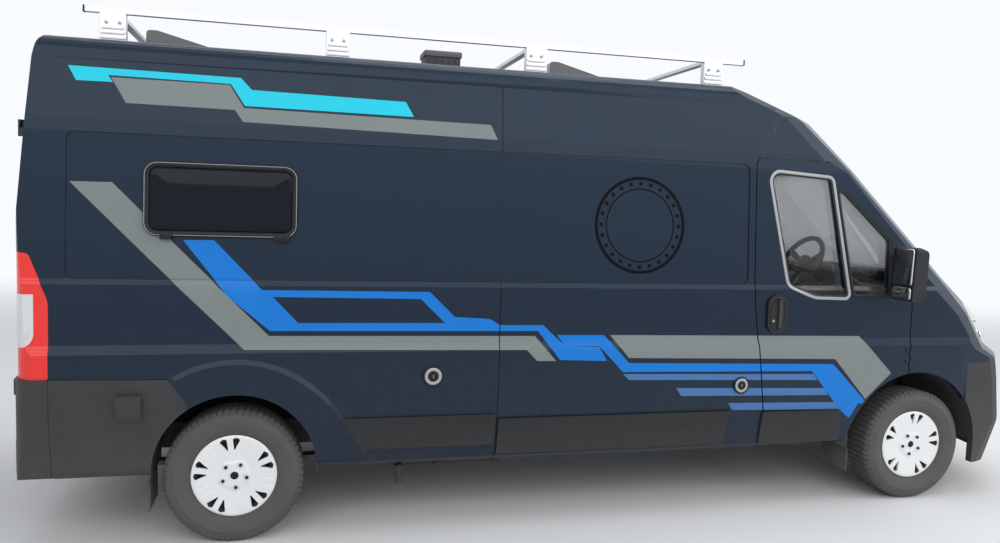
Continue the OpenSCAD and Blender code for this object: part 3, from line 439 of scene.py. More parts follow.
def boxMesh(corner, other, bevel=0.0, segments=2):
    # box between two opposite corners
    bm = bmesh.new()
    bmesh.ops.create_cube(bm, size=1)
    spans = [sorted(pair) for pair in zip(corner, other)]
    for v in bm.verts:
        v.co = Vector([low + (c + 0.5) * (high - low) for c, (low, high) in zip(v.co, spans)])
    if bevel > 0:
        bmesh.ops.bevel(bm, geom=bm.edges[:], offset=bevel, segments=segments, profile=0.6, affect="EDGES")
    return bm


def joinInto(bm, other, move=None, mat=None):
    # adds another bmesh to bm and frees it
    if move is not None:
        bmesh.ops.transform(other, matrix=move, verts=other.verts)
    copies = {v: bm.verts.new(v.co) for v in other.verts}
    for f in other.faces:
        made = bm.faces.new([copies[v] for v in f.verts])
        made.material_index = f.material_index if mat is None else mat
    other.free()
    return bm


def mirrorMesh(bm):
    bmesh.ops.scale(bm, vec=(1, -1, 1), verts=bm.verts)
    bmesh.ops.reverse_faces(bm, faces=bm.faces)


def spinMesh(bm, degrees):
    bmesh.ops.rotate(bm, matrix=Matrix.Rotation(math.radians(degrees), 3, "Y"), verts=bm.verts)


def pushMesh(bm, away):
    # moves each point along its own normal
    bm.normal_update()
    normals = [v.normal.copy() for v in bm.verts]
    for v, normal in zip(bm.verts, normals):
        v.co += normal * away


def facing(way):
    # turns the Y axis to a way
    return Vector(way).to_track_quat("Y", "Z").to_matrix().to_4x4()


def roundedLoop(corners, steps=6):
    # (x, z, radius) corners to a smooth closed outline
    loop = []
    n = len(corners)
    for i in range(n):
        a, b, c = (Vector(corners[k % n][:2]) for k in (i - 1, i, i + 1))
        radius = corners[i][2]
        u, v = (a - b).normalized(), (c - b).normalized()
        half = u.angle(v) / 2
        cut = radius / math.tan(half)
        middle = b + (u + v).normalized() * radius / math.sin(half)
        first, last = b + u * cut - middle, b + v * cut - middle
        sweep = math.atan2(first.x * last.y - first.y * last.x, first.dot(last))
        for k in range(steps + 1):
            turn = sweep * k / steps
            loop.append(middle + Vector((first.x * math.cos(turn) - first.y * math.sin(turn),
                                         first.x * math.sin(turn) + first.y * math.cos(turn))))
    return loop


def offsetLoop(loop, away):
    # moves a closed outline outwards by its own normals
    n = len(loop)
    area = sum(loop[i - 1].x * loop[i].y - loop[i].x * loop[i - 1].y for i in range(n))
    out = []
    for i in range(n):
        u = (loop[i] - loop[i - 1]).normalized()
        v = (loop[(i + 1) % n] - loop[i]).normalized()
        normal = Vector((u.y + v.y, -u.x - v.x)).normalized()
        out.append(loop[i] + normal * away * (1 if area > 0 else -1))
    return out


# half width of the body's side by height
bodySection = [(0.345, 0.900), (0.385, 0.977), (0.62, 1.015), (0.80, 1.025), (0.974, 1.025), (1.020, 1.011),
               (1.310, 1.007), (1.336, 0.995), (2.030, 0.943), (2.096, 0.937), (2.372, 0.899), (2.478, 0.887)]


def sectionY(z):
    return alongLine(bodySection, z)


def sideSpot(side, x, z, height):
    return Vector((x, (sectionY(z) + height) * sides[side], z))


def trimOnSide(name, outline, steps, mat, side, body="body"):
    # a moulded band over a side panel; each step is a distance out from the outline and a height above the panel
    rows = [[sideSpot(side, *p, height) for p in offsetLoop(outline, away)] for away, height in steps]
    keepPiece(name, loftMesh(rows), [mat], body=body)


# shared Geometry Nodes trees
def startTree(name, **inputs):
    tree = bpy.data.node_groups.new(name, "GeometryNodeTree")
    for label, kind in {"Geometry": "Geometry", **inputs, "Material": "Material"}.items():
        tree.interface.new_socket(label, in_out="INPUT", socket_type="NodeSocket" + kind)
    tree.interface.new_socket("Geometry", in_out="OUTPUT", socket_type="NodeSocketGeometry")
    return tree, tree.nodes.new("NodeGroupInput").outputs


def endTree(tree, given, geometry):
    real = addNode(tree, "GeometryNodeRealizeInstances", {"Geometry": geometry})
    coat = addNode(tree, "GeometryNodeSetMaterial", {"Geometry": real.outputs["Geometry"],
                                                     "Material": given["Material"]})
    addNode(tree, "NodeGroupOutput", {"Geometry": coat.outputs["Geometry"]})
    return tree


def makeRingTree():
    # copies the incoming mesh round the Y axis
    tree, given = startTree("ringOfCopies", Count="Int")
    line = addNode(tree, "GeometryNodeMeshLine", {"Count": given["Count"], "Offset": (0, 0, 0)})
    index = addNode(tree, "GeometryNodeInputIndex")
    share = addNode(tree, "ShaderNodeMath", {0: index.outputs["Index"], 1: given["Count"]}, operation="DIVIDE")
    turn = addNode(tree, "ShaderNodeMath", {0: share.outputs[0], 1: math.tau}, operation="MULTIPLY")
    about = addNode(tree, "ShaderNodeCombineXYZ", {"Y": turn.outputs[0]})
    copies = addNode(tree, "GeometryNodeInstanceOnPoints", {"Points": line.outputs["Mesh"],
                                                            "Instance": given["Geometry"],
                                                            "Rotation": about.outputs[0]})
    return endTree(tree, given, copies.outputs["Instances"])


def makeRowTree():
    # copies the incoming mesh along a straight line
    tree, given = startTree("rowOfCopies", Count="Int", Step="Vector")
    line = addNode(tree, "GeometryNodeMeshLine", {"Count": given["Count"], "Offset": given["Step"]})
    copies = addNode(tree, "GeometryNodeInstanceOnPoints", {"Points": line.outputs["Mesh"],
                                                            "Instance": given["Geometry"]})
    return endTree(tree, given, copies.outputs["Instances"])


def makePathTree():
    # sweeps a round section along the incoming edges
    tree, given = startTree("tubeAlongPath", Radius="Float", Sides="Int")
    path = addNode(tree, "GeometryNodeMeshToCurve", {"Mesh": given["Geometry"]})
    section = addNode(tree, "GeometryNodeCurvePrimitiveCircle", {"Radius": given["Radius"],
                                                                 "Resolution": given["Sides"]})
    sweep = addNode(tree, "GeometryNodeCurveToMesh", {"Curve": path.outputs["Curve"], "Fill Caps": True,
                                                      "Profile Curve": section.outputs["Curve"]})
    return endTree(tree, given, sweep.outputs["Mesh"])


ringTree, rowTree, pathTree = makeRingTree(), makeRowTree(), makePathTree()


def evaluatedMesh(holder):
    graph = bpy.context.evaluated_depsgraph_get()
    return bpy.data.meshes.new_from_object(holder.evaluated_get(graph), depsgraph=graph)


def holderOf(name, bm):
    # object that holds a bmesh for a modifier; frees the bmesh
    mesh = bpy.data.meshes.new(name)
    bm.to_mesh(mesh)
    bm.free()
    holder = bpy.data.objects.new(name, mesh)
    scene.collection.objects.link(holder)
    return holder


def meshToBm(mesh):
    bm = bmesh.new()
    bm.from_mesh(mesh)
    bpy.data.meshes.remove(mesh)
    return bm


def bakeTree(bm, tree, mat, **values):
    # runs a tree on a bmesh and gives back the plain result as a bmesh
    holder = holderOf("treeInput", bm)
    mod = holder.modifiers.new("tree", "NODES")
    mod.node_group = tree
    values["Material"] = materials[mat]
    for item in tree.interface.items_tree:
        if item.in_out == "INPUT" and item.name in values:
            mod[item.identifier] = values[item.name]
    result = evaluatedMesh(holder)
    bpy.data.objects.remove(holder)
    made = meshToBm(result)
    bmesh.ops.recalc_face_normals(made, faces=made.faces)
    return made


def tubePath(points, radius, mat, closed=False, facets=10):
    bm = bmesh.new()
    verts = [bm.verts.new(p) for p in points]
    for a, b in zip(verts, verts[1:] + (verts[:1] if closed else [])):
        bm.edges.new((a, b))
    return bakeTree(bm, pathTree, mat, Radius=radius, Sides=facets)


# side stripes: corners are pixels of the photograph, laid on the right side and mirrored to the left
stripeSet = {
    "lift": 0.0009,
    "grid": 0.045,                 # spacing of the points that follow the panels' curve
    "past": 0.1,                   # how far a cut runs past the outline
    "shrink": 0.004,               # keeps a corner on its own panel
    "merge": 0.0006,
    "kinks": [0.345, 0.385, 0.62, 0.80, 0.974, 1.020, 1.310, 1.3340, 1.3352, 1.336, 1.571, 2.030, 2.096, 2.372],
    "joints": [(-0.635, 0.0056), (-2.384, 0.0)],   # upright seams that cut the film: place, width
    "doorSeam": [(1.013, 0.362), (0.945, 0.780), (0.8838, 1.237), (0.882, 1.263), (0.882, 2.1)],
    "doorGap": (-0.0008, 0.0068),  # both edges of the gap behind the front door
    "wingGap": (1.9597, 1.9663),
    "doorSpan": (0.85, 1.05),      # films that reach into these spans are cut at the gaps
    "wingSpan": (1.95, 1.97),
    "sideFrom": -0.8,              # a pixel that meets nothing out here is laid on the plane
    "sidePlane": -1.015,
    "leastY": 0.75,                # nearer the middle is no side panel
    "mostStep": 0.06,
    "stripes": {
        "cyanStripe": ("cyanVinyl", [[(68, 65), (241, 78), (252, 90), (406, 102), (414, 117), (245, 106),
                                      (231, 84), (108, 75), (113, 82), (76, 80)]]),
        "greyRoofStripe": ("greyVinyl", [[(111, 77), (230, 85), (244, 108), (491, 125), (498, 140), (243, 122),
                                          (235, 110), (126, 103)]]),
        "greyBand": ("greyVinyl", [[(69, 181), (112, 182), (191, 260), (269, 336), (535, 336), (556, 361),
                                    (537, 361), (527, 350), (244, 350), (150, 260)]]),
        "blueBand": ("blueVinyl", [[(183, 240), (214, 240), (262, 290), (430, 292), (455, 317), (490, 319),
                                    (500, 325), (543, 325), (565, 346), (599, 347), (607, 361), (560, 360),
                                    (538, 331), (270, 331), (228, 297)],
                                   [(273, 297), (421, 299), (445, 323), (298, 323)]]),
        "blueSecond": ("blueVinyl", [[(557, 335), (604, 335), (629, 363), (833, 364), (864, 400), (855, 423),
                                      (838, 408), (812, 371), (623, 372), (599, 346), (565, 346)]]),
        "greyFront": ("greyVinyl", [[(610, 335), (859, 336), (891, 373), (865, 399), (835, 359), (629, 358)]]),
        "lineHigh": ("lineVinyl", [[(623, 374), (814, 374), (817, 380), (629, 380)]]),
        "lineMiddle": ("lineVinyl", [[(676, 388), (824, 388), (828, 395), (681, 396)]]),
        "lineLow": ("lineVinyl", [[(728, 403), (835, 402), (840, 409), (732, 410)]]),
    },
}
sideTrees = {
    "right": {"body": treeOf("quarter_right", "mid_panel_right", "wings", "roof", "cab_frame"),
              "front_door_right": treeOf("door_right")},
    "left": {"body": treeOf("quarter_left", "sliding_door", "wings", "roof", "cab_frame"),
             "front_door_left": treeOf("door_left")},
}


def pixelOnPanels(u, v):
    # where the photo's pixel meets the right side's panels, or else a plane along them, as x and z
    right, up, ahead = cameraAxes()
    wide, tall = cameraSet["imageSize"]
    eye = Vector(cameraSet["place"])
    ray = (ahead * cameraSet["focalPixels"] + right * (u - wide / 2) - up * (v - tall / 2)).normalized()
    hits = [tree.ray_cast(eye, ray) for tree in sideTrees["right"].values()]
    hits = [(far, hit) for hit, normal, face, far in hits if hit]
    spot = min(hits, key=lambda h: h[0])[1] if hits else Vector()
    if spot.y > stripeSet["sideFrom"]:
        spot = eye + ray * ((stripeSet["sidePlane"] - eye.y) / ray.y)
    return Vector((spot.x, spot.z))


def panelPoint(side, body, x, z, lift):
    out = sides[side]
    hit, normal, face, far = sideTrees[side][body].ray_cast(Vector((x, 3 * out, z)), Vector((0, -out, 0)))
    if hit is None or abs(hit.y) < stripeSet["leastY"]:
        return None
    if normal.y * out < 0:
        normal.negate()
    return hit + normal * lift


def filmOnSide(name, mat, loops, side, apart=False):
    # triangulates the outline with the panels' kinks in it, and lays each triangle on its own panel
    # loops after the first are holes, or apart: outlines of their own
    out, lift, past = sides[side], stripeSet["lift"], stripeSet["past"]
    points, edges = loopEdges(loops)
    lowX, highX = min(p.x for p in points), max(p.x for p in points)
    lowZ, highZ = min(p.y for p in points), max(p.y for p in points)

    def addLine(*spots):
        for a, b in zip(spots, spots[1:]):
            edges.append((len(points), len(points) + 1))
            points.extend([Vector(a), Vector(b)])

    def addUpright(x):
        addLine((x, lowZ - past), (x, highZ + past))

    for z in stripeSet["kinks"]:
        if lowZ < z < highZ:
            addLine((lowX - past, z), (highX + past, z))
    step = stripeSet["grid"]
    for i in range(math.ceil(lowX / step), math.ceil(highX / step)):
        addUpright(i * step)
    for place, wide in stripeSet["joints"]:
        for x in (place - wide / 2, place + wide / 2):
            if lowX < x < highX:
                addUpright(x)
    for shift in stripeSet["doorGap"]:
        if highX > stripeSet["doorSpan"][0] and lowX < stripeSet["doorSpan"][1]:
            addLine(*[(x + shift, z) for x, z in stripeSet["doorSeam"]])
    for x in stripeSet["wingGap"]:
        if highX > stripeSet["wingSpan"][0] and lowX < stripeSet["wingSpan"][1]:
            addUpright(x)
    flat, _, tris, _, _, _ = delaunay_2d_cdt(points, edges, [], 0, 1e-6)
    perBody = {}
    for tri in tris:
        corners = [flat[i] for i in tri]
        middle = sum(corners, Vector((0, 0))) / 3
        within = [insideLoop(middle, loop) for loop in loops]
        if not (any(within) if apart else within[0] and not any(within[1:])):
            continue
        if any(abs(middle.x - place) < wide / 2 for place, wide in stripeSet["joints"]):
            continue
        for body in reversed(sideTrees[side]):       # the door first
            if panelPoint(side, body, *middle, 0):
                spot = [panelPoint(side, body, *c.lerp(middle, stripeSet["shrink"]), lift) for c in corners]
                if None not in spot and max(abs(s.y - spot[0].y) for s in spot) <= stripeSet["mostStep"]:
                    perBody.setdefault(body, []).append(spot)
                break
    for body, spots in perBody.items():
        bm = bmesh.new()
        for spot in spots:
            bm.faces.new([bm.verts.new(s) for s in spot[::-out]])
        bmesh.ops.remove_doubles(bm, verts=bm.verts, dist=stripeSet["merge"])
        for f in bm.faces:
            f.normal_update()
            if f.normal.y * out < 0:
                f.normal_flip()
        for e in [e for e in bm.edges if e.is_boundary]:    # cut edge of the film, down to the panel
            tops = [bm.verts.new(v.co) for v in e.verts]
            feet = [bm.verts.new(v.co - Vector((0, out * lift, 0))) for v in e.verts]
            rim = bm.faces.new([*tops, *feet[::-1]])
            rim.normal_update()
            if rim.normal.dot(e.link_faces[0].calc_center_median() - tops[0].co) > 0:
                rim.normal_flip()
        keepPiece(f"{name}.{side}.{body}", bm, [mat], body)


def makeStripes():
    for name, (mat, loops) in stripeSet["stripes"].items():
        onSide = [[pixelOnPanels(*corner) for corner in loop] for loop in loops]
        for side in sides:
            filmOnSide(name, mat, onSide, side)
    print("stripes laid:", len(stripeSet["stripes"]))


makeStripes()

# wheels
wheelSet = {
    "radius": 0.341,
    "grooveFloor": 0.333,
    "pitches": 64,                      # tread blocks round the tyre
    "blockHalf": 0.42,                  # of a pitch
    "sidewall": [(0.2075, 0.074), (0.214, 0.0785), (0.219, 0.0800), (0.224, 0.0865), (0.240, 0.0985),
                 (0.262, 0.1062), (0.281, 0.1072), (0.283, 0.1083), (0.286, 0.1083), (0.288, 0.1068),
                 (0.302, 0.1040), (0.314, 0.0985), (0.323, 0.0925), (0.3285, 0.0850), (0.333, 0.0760)],
    "bead": [(0.1935, 0.064), (0.1935, -0.064)],
    "ribs": [(-0.0145, 0.0145), (0.0215, 0.0455), (-0.0455, -0.0215)],   # across the tread
    "shoulderFrom": 0.0525,
    "shoulder": [(0, 0), (0.026, 0.001), (0.036, 0.0085), (0.0465, 0.0205), (0.043, 0.0275)],   # out, down
    "boltCircle": 0.061,
    "bolts": 5,
    "hubFace": 0.0785,                  # outer face of the trim round the bolts
    "head": [(0.0, 0.010), (0.0075, 0.010), (0.0088, 0.0085), (0.0088, -0.004), (0.0125, -0.004),
             (0.0125, -0.012)],
    "seat": [(0.0135, 0.0010), (0.0150, 0.0030), (0.0165, 0.0026), (0.0180, -0.0005)],
    "cap": [(0.0, 0.0815), (0.012, 0.0810), (0.020, 0.0795), (0.0225, 0.0825), (0.0265, 0.0820), (0.0285, 0.0795),
            (0.030, 0.0740)],
    "capFace": 0.021,
    "valve": (0.028, 0, 0.172),
    "valveRadius": 0.0042,
    "valvePath": [(1, 0.058), (0.99, 0.072), (0.97, 0.088)],              # share of its radius, out
    "places": {"front_right": (2.051, -0.905), "front_left": (2.051, 0.905),
               "rear_right": (-1.984, -0.895), "rear_left": (-1.984, 0.895)},
}
# pressed wheel trims: five pairs of tapered slots, broad spokes with two pressed lines, a lobed hub
trimSet = {
    "profile": [(0.0, 0.0745), (0.088, 0.0755), (0.115, 0.0780), (0.150, 0.0822), (0.182, 0.0850), (0.199, 0.0852),
                (0.2050, 0.0840), (0.2085, 0.0812)],                  # radius, distance out
    "slot": [(0.124, 6.4, 0.003), (0.191, 4.6, 0.004), (0.1975, 9.5, 0.005), (0.1890, 15.8, 0.006),
             (0.152, 11.0, 0.012)],                                   # radius, degrees from the rib, corner radius
    "slotsFrom": 0.12,
    "margin": 0.0015,                                                 # points keep this far from a slot
    "rings": 50,
    "spokes": 5,
    "hub": (0.074, 0.006, 0.0040),                                    # mean radius, lobe, rise
    "hubSlope": 0.008,
    "groove": (0.0165, 0.0035, 0.0026, 0.126, 0.194),                 # aside, half width, depth, radii
    "wall": 0.012,
    "edgeWall": 0.004,
    "turn": {"front_right": -8, "rear_right": 7, "front_left": 8, "rear_left": -7},
}


def trimHeight(x, z):
    radius = math.hypot(x, z)
    high = alongLine(trimSet["profile"], radius)
    share = math.tau / trimSet["spokes"]
    fromRib = (math.atan2(z, x) - math.pi / 2 + share / 2) % share - share / 2
    mean, lobe, rise = trimSet["hub"]
    slope = trimSet["hubSlope"]
    edge = mean - lobe * math.cos(fromRib * trimSet["spokes"])
    high += rise * min(max((edge + slope / 2 - radius) / slope, 0), 1)
    aside, half, depth, near, far = trimSet["groove"]
    across = radius * math.sin(share / 2 - abs(fromRib))
    if near < radius < far:
        high -= depth * max(1 - abs(across - aside) / half, 0)
    return high


def trimMesh():
    slots = []
    for k in range(trimSet["spokes"]):
        for way in (-1, 1):
            corners = []
            for radius, degrees, bend in trimSet["slot"]:
                a = math.pi / 2 + k * math.tau / trimSet["spokes"] + way * math.radians(degrees)
                corners.append((radius * math.cos(a), radius * math.sin(a), bend))
            slots.append(roundedLoop(corners, 4))
    edge = trimSet["profile"][-1][0]
    outline = circle(edge, 160)
    points, edges = loopEdges([outline, *slots])
    margins = [offsetLoop(slot, trimSet["margin"]) for slot in slots]
    for ring in range(1, trimSet["rings"]):
        radius = edge * ring / trimSet["rings"]
        for spot in circle(radius, max(12, min(240, int(radius / edge * 300)))):
            if radius < trimSet["slotsFrom"] or not any(insideLoop(spot, m) for m in margins):
                points.append(spot)
    flat, _, tris, _, _, _ = delaunay_2d_cdt(points, edges, [], 0, 1e-7)
    bm = bmesh.new()
    verts = [bm.verts.new((p.x, trimHeight(p.x, p.y), p.y)) for p in flat]
    for tri in tris:
        middle = sum((flat[i] for i in tri), Vector((0, 0))) / 3
        if insideLoop(middle, outline) and not any(insideLoop(middle, slot) for slot in slots):
            bm.faces.new([verts[i] for i in tri])
    bmesh.ops.delete(bm, geom=[v for v in bm.verts if not v.link_faces], context="VERTS")
    bm.normal_update()
    for f in bm.faces:
        if f.normal.y < 0:
            f.normal_flip()
    walls = bmesh.ops.extrude_edge_only(bm, edges=[e for e in bm.edges if e.is_boundary])["geom"]
    for v in walls:
        if isinstance(v, bmesh.types.BMVert):
            v.co.y -= trimSet["edgeWall"] if math.hypot(v.co.x, v.co.z) > edge - 0.002 else trimSet["wall"]
    bmesh.ops.recalc_face_normals(bm, faces=bm.faces)
    if max(bm.faces, key=lambda f: f.calc_area()).normal.y < 0:
        bmesh.ops.reverse_faces(bm, faces=bm.faces)
    return bm


def seatOnWheel(bm, corner):
    # turns a piece made about the Y axis as its wheel stands, faces it outwards and moves it there
    x, y = wheelSet["places"][corner]
    spinMesh(bm, -trimSet["turn"][corner])
    if y < 0:
        mirrorMesh(bm)
    bmesh.ops.translate(bm, vec=(x, y, wheelSet["radius"]), verts=bm.verts)


def makeTrims():
    plain = trimMesh()
    for corner in wheelSet["places"]:
        bm = plain.copy()
        seatOnWheel(bm, corner)
        keepPiece(f"wheelTrim.{corner}", bm, ["rimSilver"], f"wheel_{corner}", 30)
    plain.free()


def treadBlock(y0, y1, shoulder=0):
    # one block, a little narrower at the top; a shoulder block folds down over the tyre's edge
    half = math.tau * wheelSet["radius"] / wheelSet["pitches"] * wheelSet["blockHalf"]
    low, high = wheelSet["grooveFloor"] - 0.002, wheelSet["radius"]
    if shoulder:
        line = [(y0 + shoulder * away, high - down) for away, down in wheelSet["shoulder"]] + [(y0, low)]
    else:
        line = [(y0 + 0.001, high), (y1 - 0.001, high), (y1, low), (y0, low)]
    slant = 0.004 if shoulder else 0.003
    rows = [[(s * half + slant * (y - y0) / 0.03, y, r) for y, r in line] for s in (-1, 1)]
    return loftMesh(rows, ends=(0, -1))


def makeTyre(corner, x, y):
    wall = wheelSet["sidewall"]
    profile = [(r, -w) for r, w in wall] + [(r, w) for r, w in reversed(wall)]
    carcass = lathe(profile + wheelSet["bead"] + profile[:1], 96)
    blocks = bmesh.new()
    for y0, y1 in wheelSet["ribs"]:
        joinInto(blocks, treadBlock(y0, y1))
    for way in (-1, 1):
        joinInto(blocks, treadBlock(way * wheelSet["shoulderFrom"], 0, way))
    joinInto(carcass, bakeTree(blocks, ringTree, "tyreRubber", Count=wheelSet["pitches"]), mat=0)
    bmesh.ops.translate(carcass, vec=(x, y, wheelSet["radius"]), verts=carcass.verts)
    tyre = keepPiece(f"treadedTyre.{corner}", carcass, ["tyreRubber"], f"wheel_{corner}", 40)
    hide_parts(f"tyre_{corner}")


def makeBolts(corner, x, y):
    # bolt heads and their seats in a ring, the bare cap in the middle, and the tyre's valve
    def boltRing(profile, segments, mat):
        one = lathe([(r, wheelSet["hubFace"] + h) for r, h in profile], segments)
        bmesh.ops.translate(one, vec=(0, 0, wheelSet["boltCircle"]), verts=one.verts)
        ring = bakeTree(one, ringTree, mat, Count=wheelSet["bolts"])
        spinMesh(ring, 180 / wheelSet["bolts"])
        return ring

    bolts = boltRing(wheelSet["head"], 6, "boltSteel")
    cap = lathe(wheelSet["cap"], 40)
    for f in cap.faces:
        f.material_index = 1 if f.calc_center_median().xz.length < wheelSet["capFace"] else 2
    joinInto(bolts, cap)
    joinInto(bolts, boltRing(wheelSet["seat"], 28, "rimSilver"), mat=2)
    seatOnWheel(bolts, corner)
    keepPiece(f"wheelBolts.{corner}", bolts, ["boltSteel", "smoothPlastic", "rimSilver"],
              f"wheel_{corner}")
    out = -1 if y < 0 else 1
    turn = Matrix.Rotation(out * math.radians(trimSet["turn"][corner]), 3, "Y")
    spot = turn @ Vector(wheelSet["valve"])
    valve = [(x + spot.x * k, y + out * d, wheelSet["radius"] + spot.z * k) for k, d in wheelSet["valvePath"]]
    keepPiece(f"tyreValve.{corner}", tubePath(valve, wheelSet["valveRadius"], "sealRubber", facets=8),
              ["sealRubber"], f"wheel_{corner}")


makeTrims()
for wheelCorner, wheelPlace in wheelSet["places"].items():
    makeTyre(wheelCorner, *wheelPlace)
    makeBolts(wheelCorner, *wheelPlace)
print("wheels dressed")

# side windows of the living space
sideWindowSet = {
    "middle": (-2.050, 1.725),
    "half": (0.355, 0.175),
    "corner": 0.060,
    "leastCorner": 0.012,
    "lip": [(0.006, -0.0055), (0.0035, 0.0115), (-0.004, 0.0165), (-0.012, 0.0165), (-0.019, 0.0135),
            (-0.0235, 0.0095)],                                       # out from the outline, above the panel
    "edge": (-0.0015, 0.0150),                                        # painted highlight: grey line laid where the lip turns
    "pane": [(0.0235, 0.009), (0.027, 0.0145), (0.034, 0.0165), (0.050, 0.0185), (0.075, 0.0205), (0.105, 0.022),
             (0.140, 0.0228)],                                        # in from the outline, above the panel
    "highlightLineRadius": 0.0016,
    "latches": [(-0.255, 0.055), (0.285, 0.075)],                     # along from the middle, width
}


def makeSideWindow(side):
    (cx, cz), (w, h), r = sideWindowSet["middle"], sideWindowSet["half"], sideWindowSet["corner"]

    def outline(inset, corner, steps):
        return roundedLoop([(cx + sx * (w - inset), cz + sz * (h - inset), corner)
                            for sx, sz in ((-1, -1), (1, -1), (1, 1), (-1, 1))], steps)

    outer = outline(0, r, 8)
    trimOnSide(f"windowLip.{side}", outer, sideWindowSet["lip"], "smoothPlastic", side)
    # painted highlight: a grey tube on the lip's bend stands for the light caught there
    away, high = sideWindowSet["edge"]
    edge = [sideSpot(side, *p, high) for p in offsetLoop(outer, away)]
    bright = tubePath(edge, sideWindowSet["highlightLineRadius"], "windowTrim", True, 6)
    keepPiece(f"windowLipHighlight.{side}", bright, ["windowTrim"])
    rows = [[sideSpot(side, *p, high) for p in outline(d, max(r - d, sideWindowSet["leastCorner"]), 6)]
            for d, high in sideWindowSet["pane"]]
    keepPiece(f"acrylicPane.{side}", loftMesh(rows, ends=(-1,)), ["tintedAcrylic"], smoothAngle=50)
    for k, (dx, wide) in enumerate(sideWindowSet["latches"]):
        y = (sectionY(cz - h) + 0.004) * sides[side]
        latch = boxMesh((cx + dx - wide / 2, y, cz - h - 0.020),
                        (cx + dx + wide / 2, y + sides[side] * 0.022, cz - h + 0.012), 0.005)
        keepPiece(f"windowLatch{k}.{side}", latch, ["smoothPlastic"])


for windowSide in sides:
    makeSideWindow(windowSide)
print("side windows dressed")

# trim round the front doors' glass: outline, surface and width of the band
doorTrimSet = {
    "window": ([(1.113, 1.337, 0.060), (1.282, 1.273, 0.200), (1.508, 1.268, 0.020), (1.385, 1.965, 0.030),
                (0.977, 1.990, 0.050)], "windowTrim", 0.020),
    "quarter": ([(1.545, 1.276, 0.015), (1.797, 1.276, 0.030), (1.805, 1.605, 0.040), (1.424, 1.940, 0.025)],
                "smoothPlastic", 0.012),
}
doorSeal = [(0.0012, 0.0010), (-0.002, 0.0012), (-0.009, -0.0025), (-0.0095, -0.0065)]


def makeDoorTrim(side):
    for label, (corners, mat, wide) in doorTrimSet.items():
        loop = roundedLoop(corners, 8)
        band = [(wide, 0.0006), (wide - 0.003, 0.0042), (0.004, 0.0042), (0.001, 0.0006)]
        trimOnSide(f"{label}Trim.{side}", loop, band, mat, side, f"front_door_{side}")
        trimOnSide(f"{label}Seal.{side}", loop, doorSeal, "sealRubber", side, f"front_door_{side}")


for doorSide in sides:
    makeDoorTrim(doorSide)
print("door glass trimmed")

# tail lamps: red lens with fine level flutes, and a clear reversing lens let into its rear corner
tailLampSet = {
    "reds": ((0.84, 0.024, 0.018, 1), (0.92, 0.036, 0.028, 1)),
    "toneScale": 14.0,
    "gloss": {"Roughness": 0.10, "Specular IOR Level": 0.35, "Coat Weight": 0.2, "Coat Roughness": 0.03},
    "flutes": 420.0,
    "fluteBump": (0.12, 0.002),                 # strength, height
    "clear": (1.010, 1.262),                    # lower and upper end of the clear lens
    "clearX": -2.880,                           # its front edge
    "corner": (0.062, 0.070),                   # its rounded lower corner, along and up
    "looks": ((-0.70, -0.70, 0.0), 0.25),       # way the outer faces look, and how closely
    "proud": 0.002,
    "thick": 0.003,
}


def makeTailLens():
    tree, shader, place = startMaterial("tailLens")
    for socket, value in tailLampSet["gloss"].items():
        shader.inputs[socket].default_value = value
    tone = addNode(tree, "ShaderNodeTexNoise", {"Vector": place, "Scale": tailLampSet["toneScale"]})
    first, second = tailLampSet["reds"]
    red = addNode(tree, "ShaderNodeMix", {"Factor": tone.outputs["Fac"], "A": first, "B": second},
                  data_type="RGBA")
    feed(tree, shader.inputs["Base Color"], red.outputs["Result"])
    split = addNode(tree, "ShaderNodeSeparateXYZ", {0: place})
    ridge = addNode(tree, "ShaderNodeMath", {0: split.outputs["Z"], 1: tailLampSet["flutes"]},
                    operation="MULTIPLY")
    flute = addNode(tree, "ShaderNodeMath", {0: ridge.outputs[0]}, operation="SINE")
    strength, height = tailLampSet["fluteBump"]
    bump = addNode(tree, "ShaderNodeBump", {"Height": flute.outputs[0], "Strength": strength, "Distance": height})
    feed(tree, shader.inputs["Normal"], bump.outputs["Normal"])
    for s in frame["nodes"]["tail_lamps"].material_slots:
        s.material = materials["tailLens"]


def outerFaces(node, ways, least):
    # merged copy of a CAD node's faces that look one way, mirrored on the left
    bm = bmesh.new()
    bm.from_mesh(frame["nodes"][node].data)
    bmesh.ops.remove_doubles(bm, verts=bm.verts, dist=0.00003)
    bm.normal_update()
    drop = []
    for f in bm.faces:
        way = Vector(ways).normalized()
        if f.calc_center_median().y > 0:
            way.y = -way.y
        if f.normal.dot(way) < least:
            drop.append(f)
    bmesh.ops.delete(bm, geom=drop, context="FACES")
    return bm


def makeTailClear():
    (low, high), front = tailLampSet["clear"], tailLampSet["clearX"]
    along, up = tailLampSet["corner"]
    planes = [((0, 0, low), (0, 0, -1)), ((0, 0, high), (0, 0, 1)), ((front, 0, 0), (1, 0, 0))]
    for degrees in (15, 30, 45, 60, 75):
        c, d = math.cos(math.radians(degrees)), math.sin(math.radians(degrees))
        planes.append(((front - along + along * c, 0, low + up - up * d), (up * c, 0, -along * d)))
    bm = outerFaces("tail_lamps", *tailLampSet["looks"])
    for spot, way in planes:
        bmesh.ops.bisect_plane(bm, geom=bm.verts[:] + bm.edges[:] + bm.faces[:], dist=1e-6, plane_co=spot,
                               plane_no=Vector(way).normalized(), clear_outer=True)
    pushMesh(bm, tailLampSet["proud"])
    bmesh.ops.solidify(bm, geom=bm.faces[:], thickness=tailLampSet["thick"])
    keepPiece("tailClear", bm, ["reverseLens"])


makeTailLens()
makeTailClear()

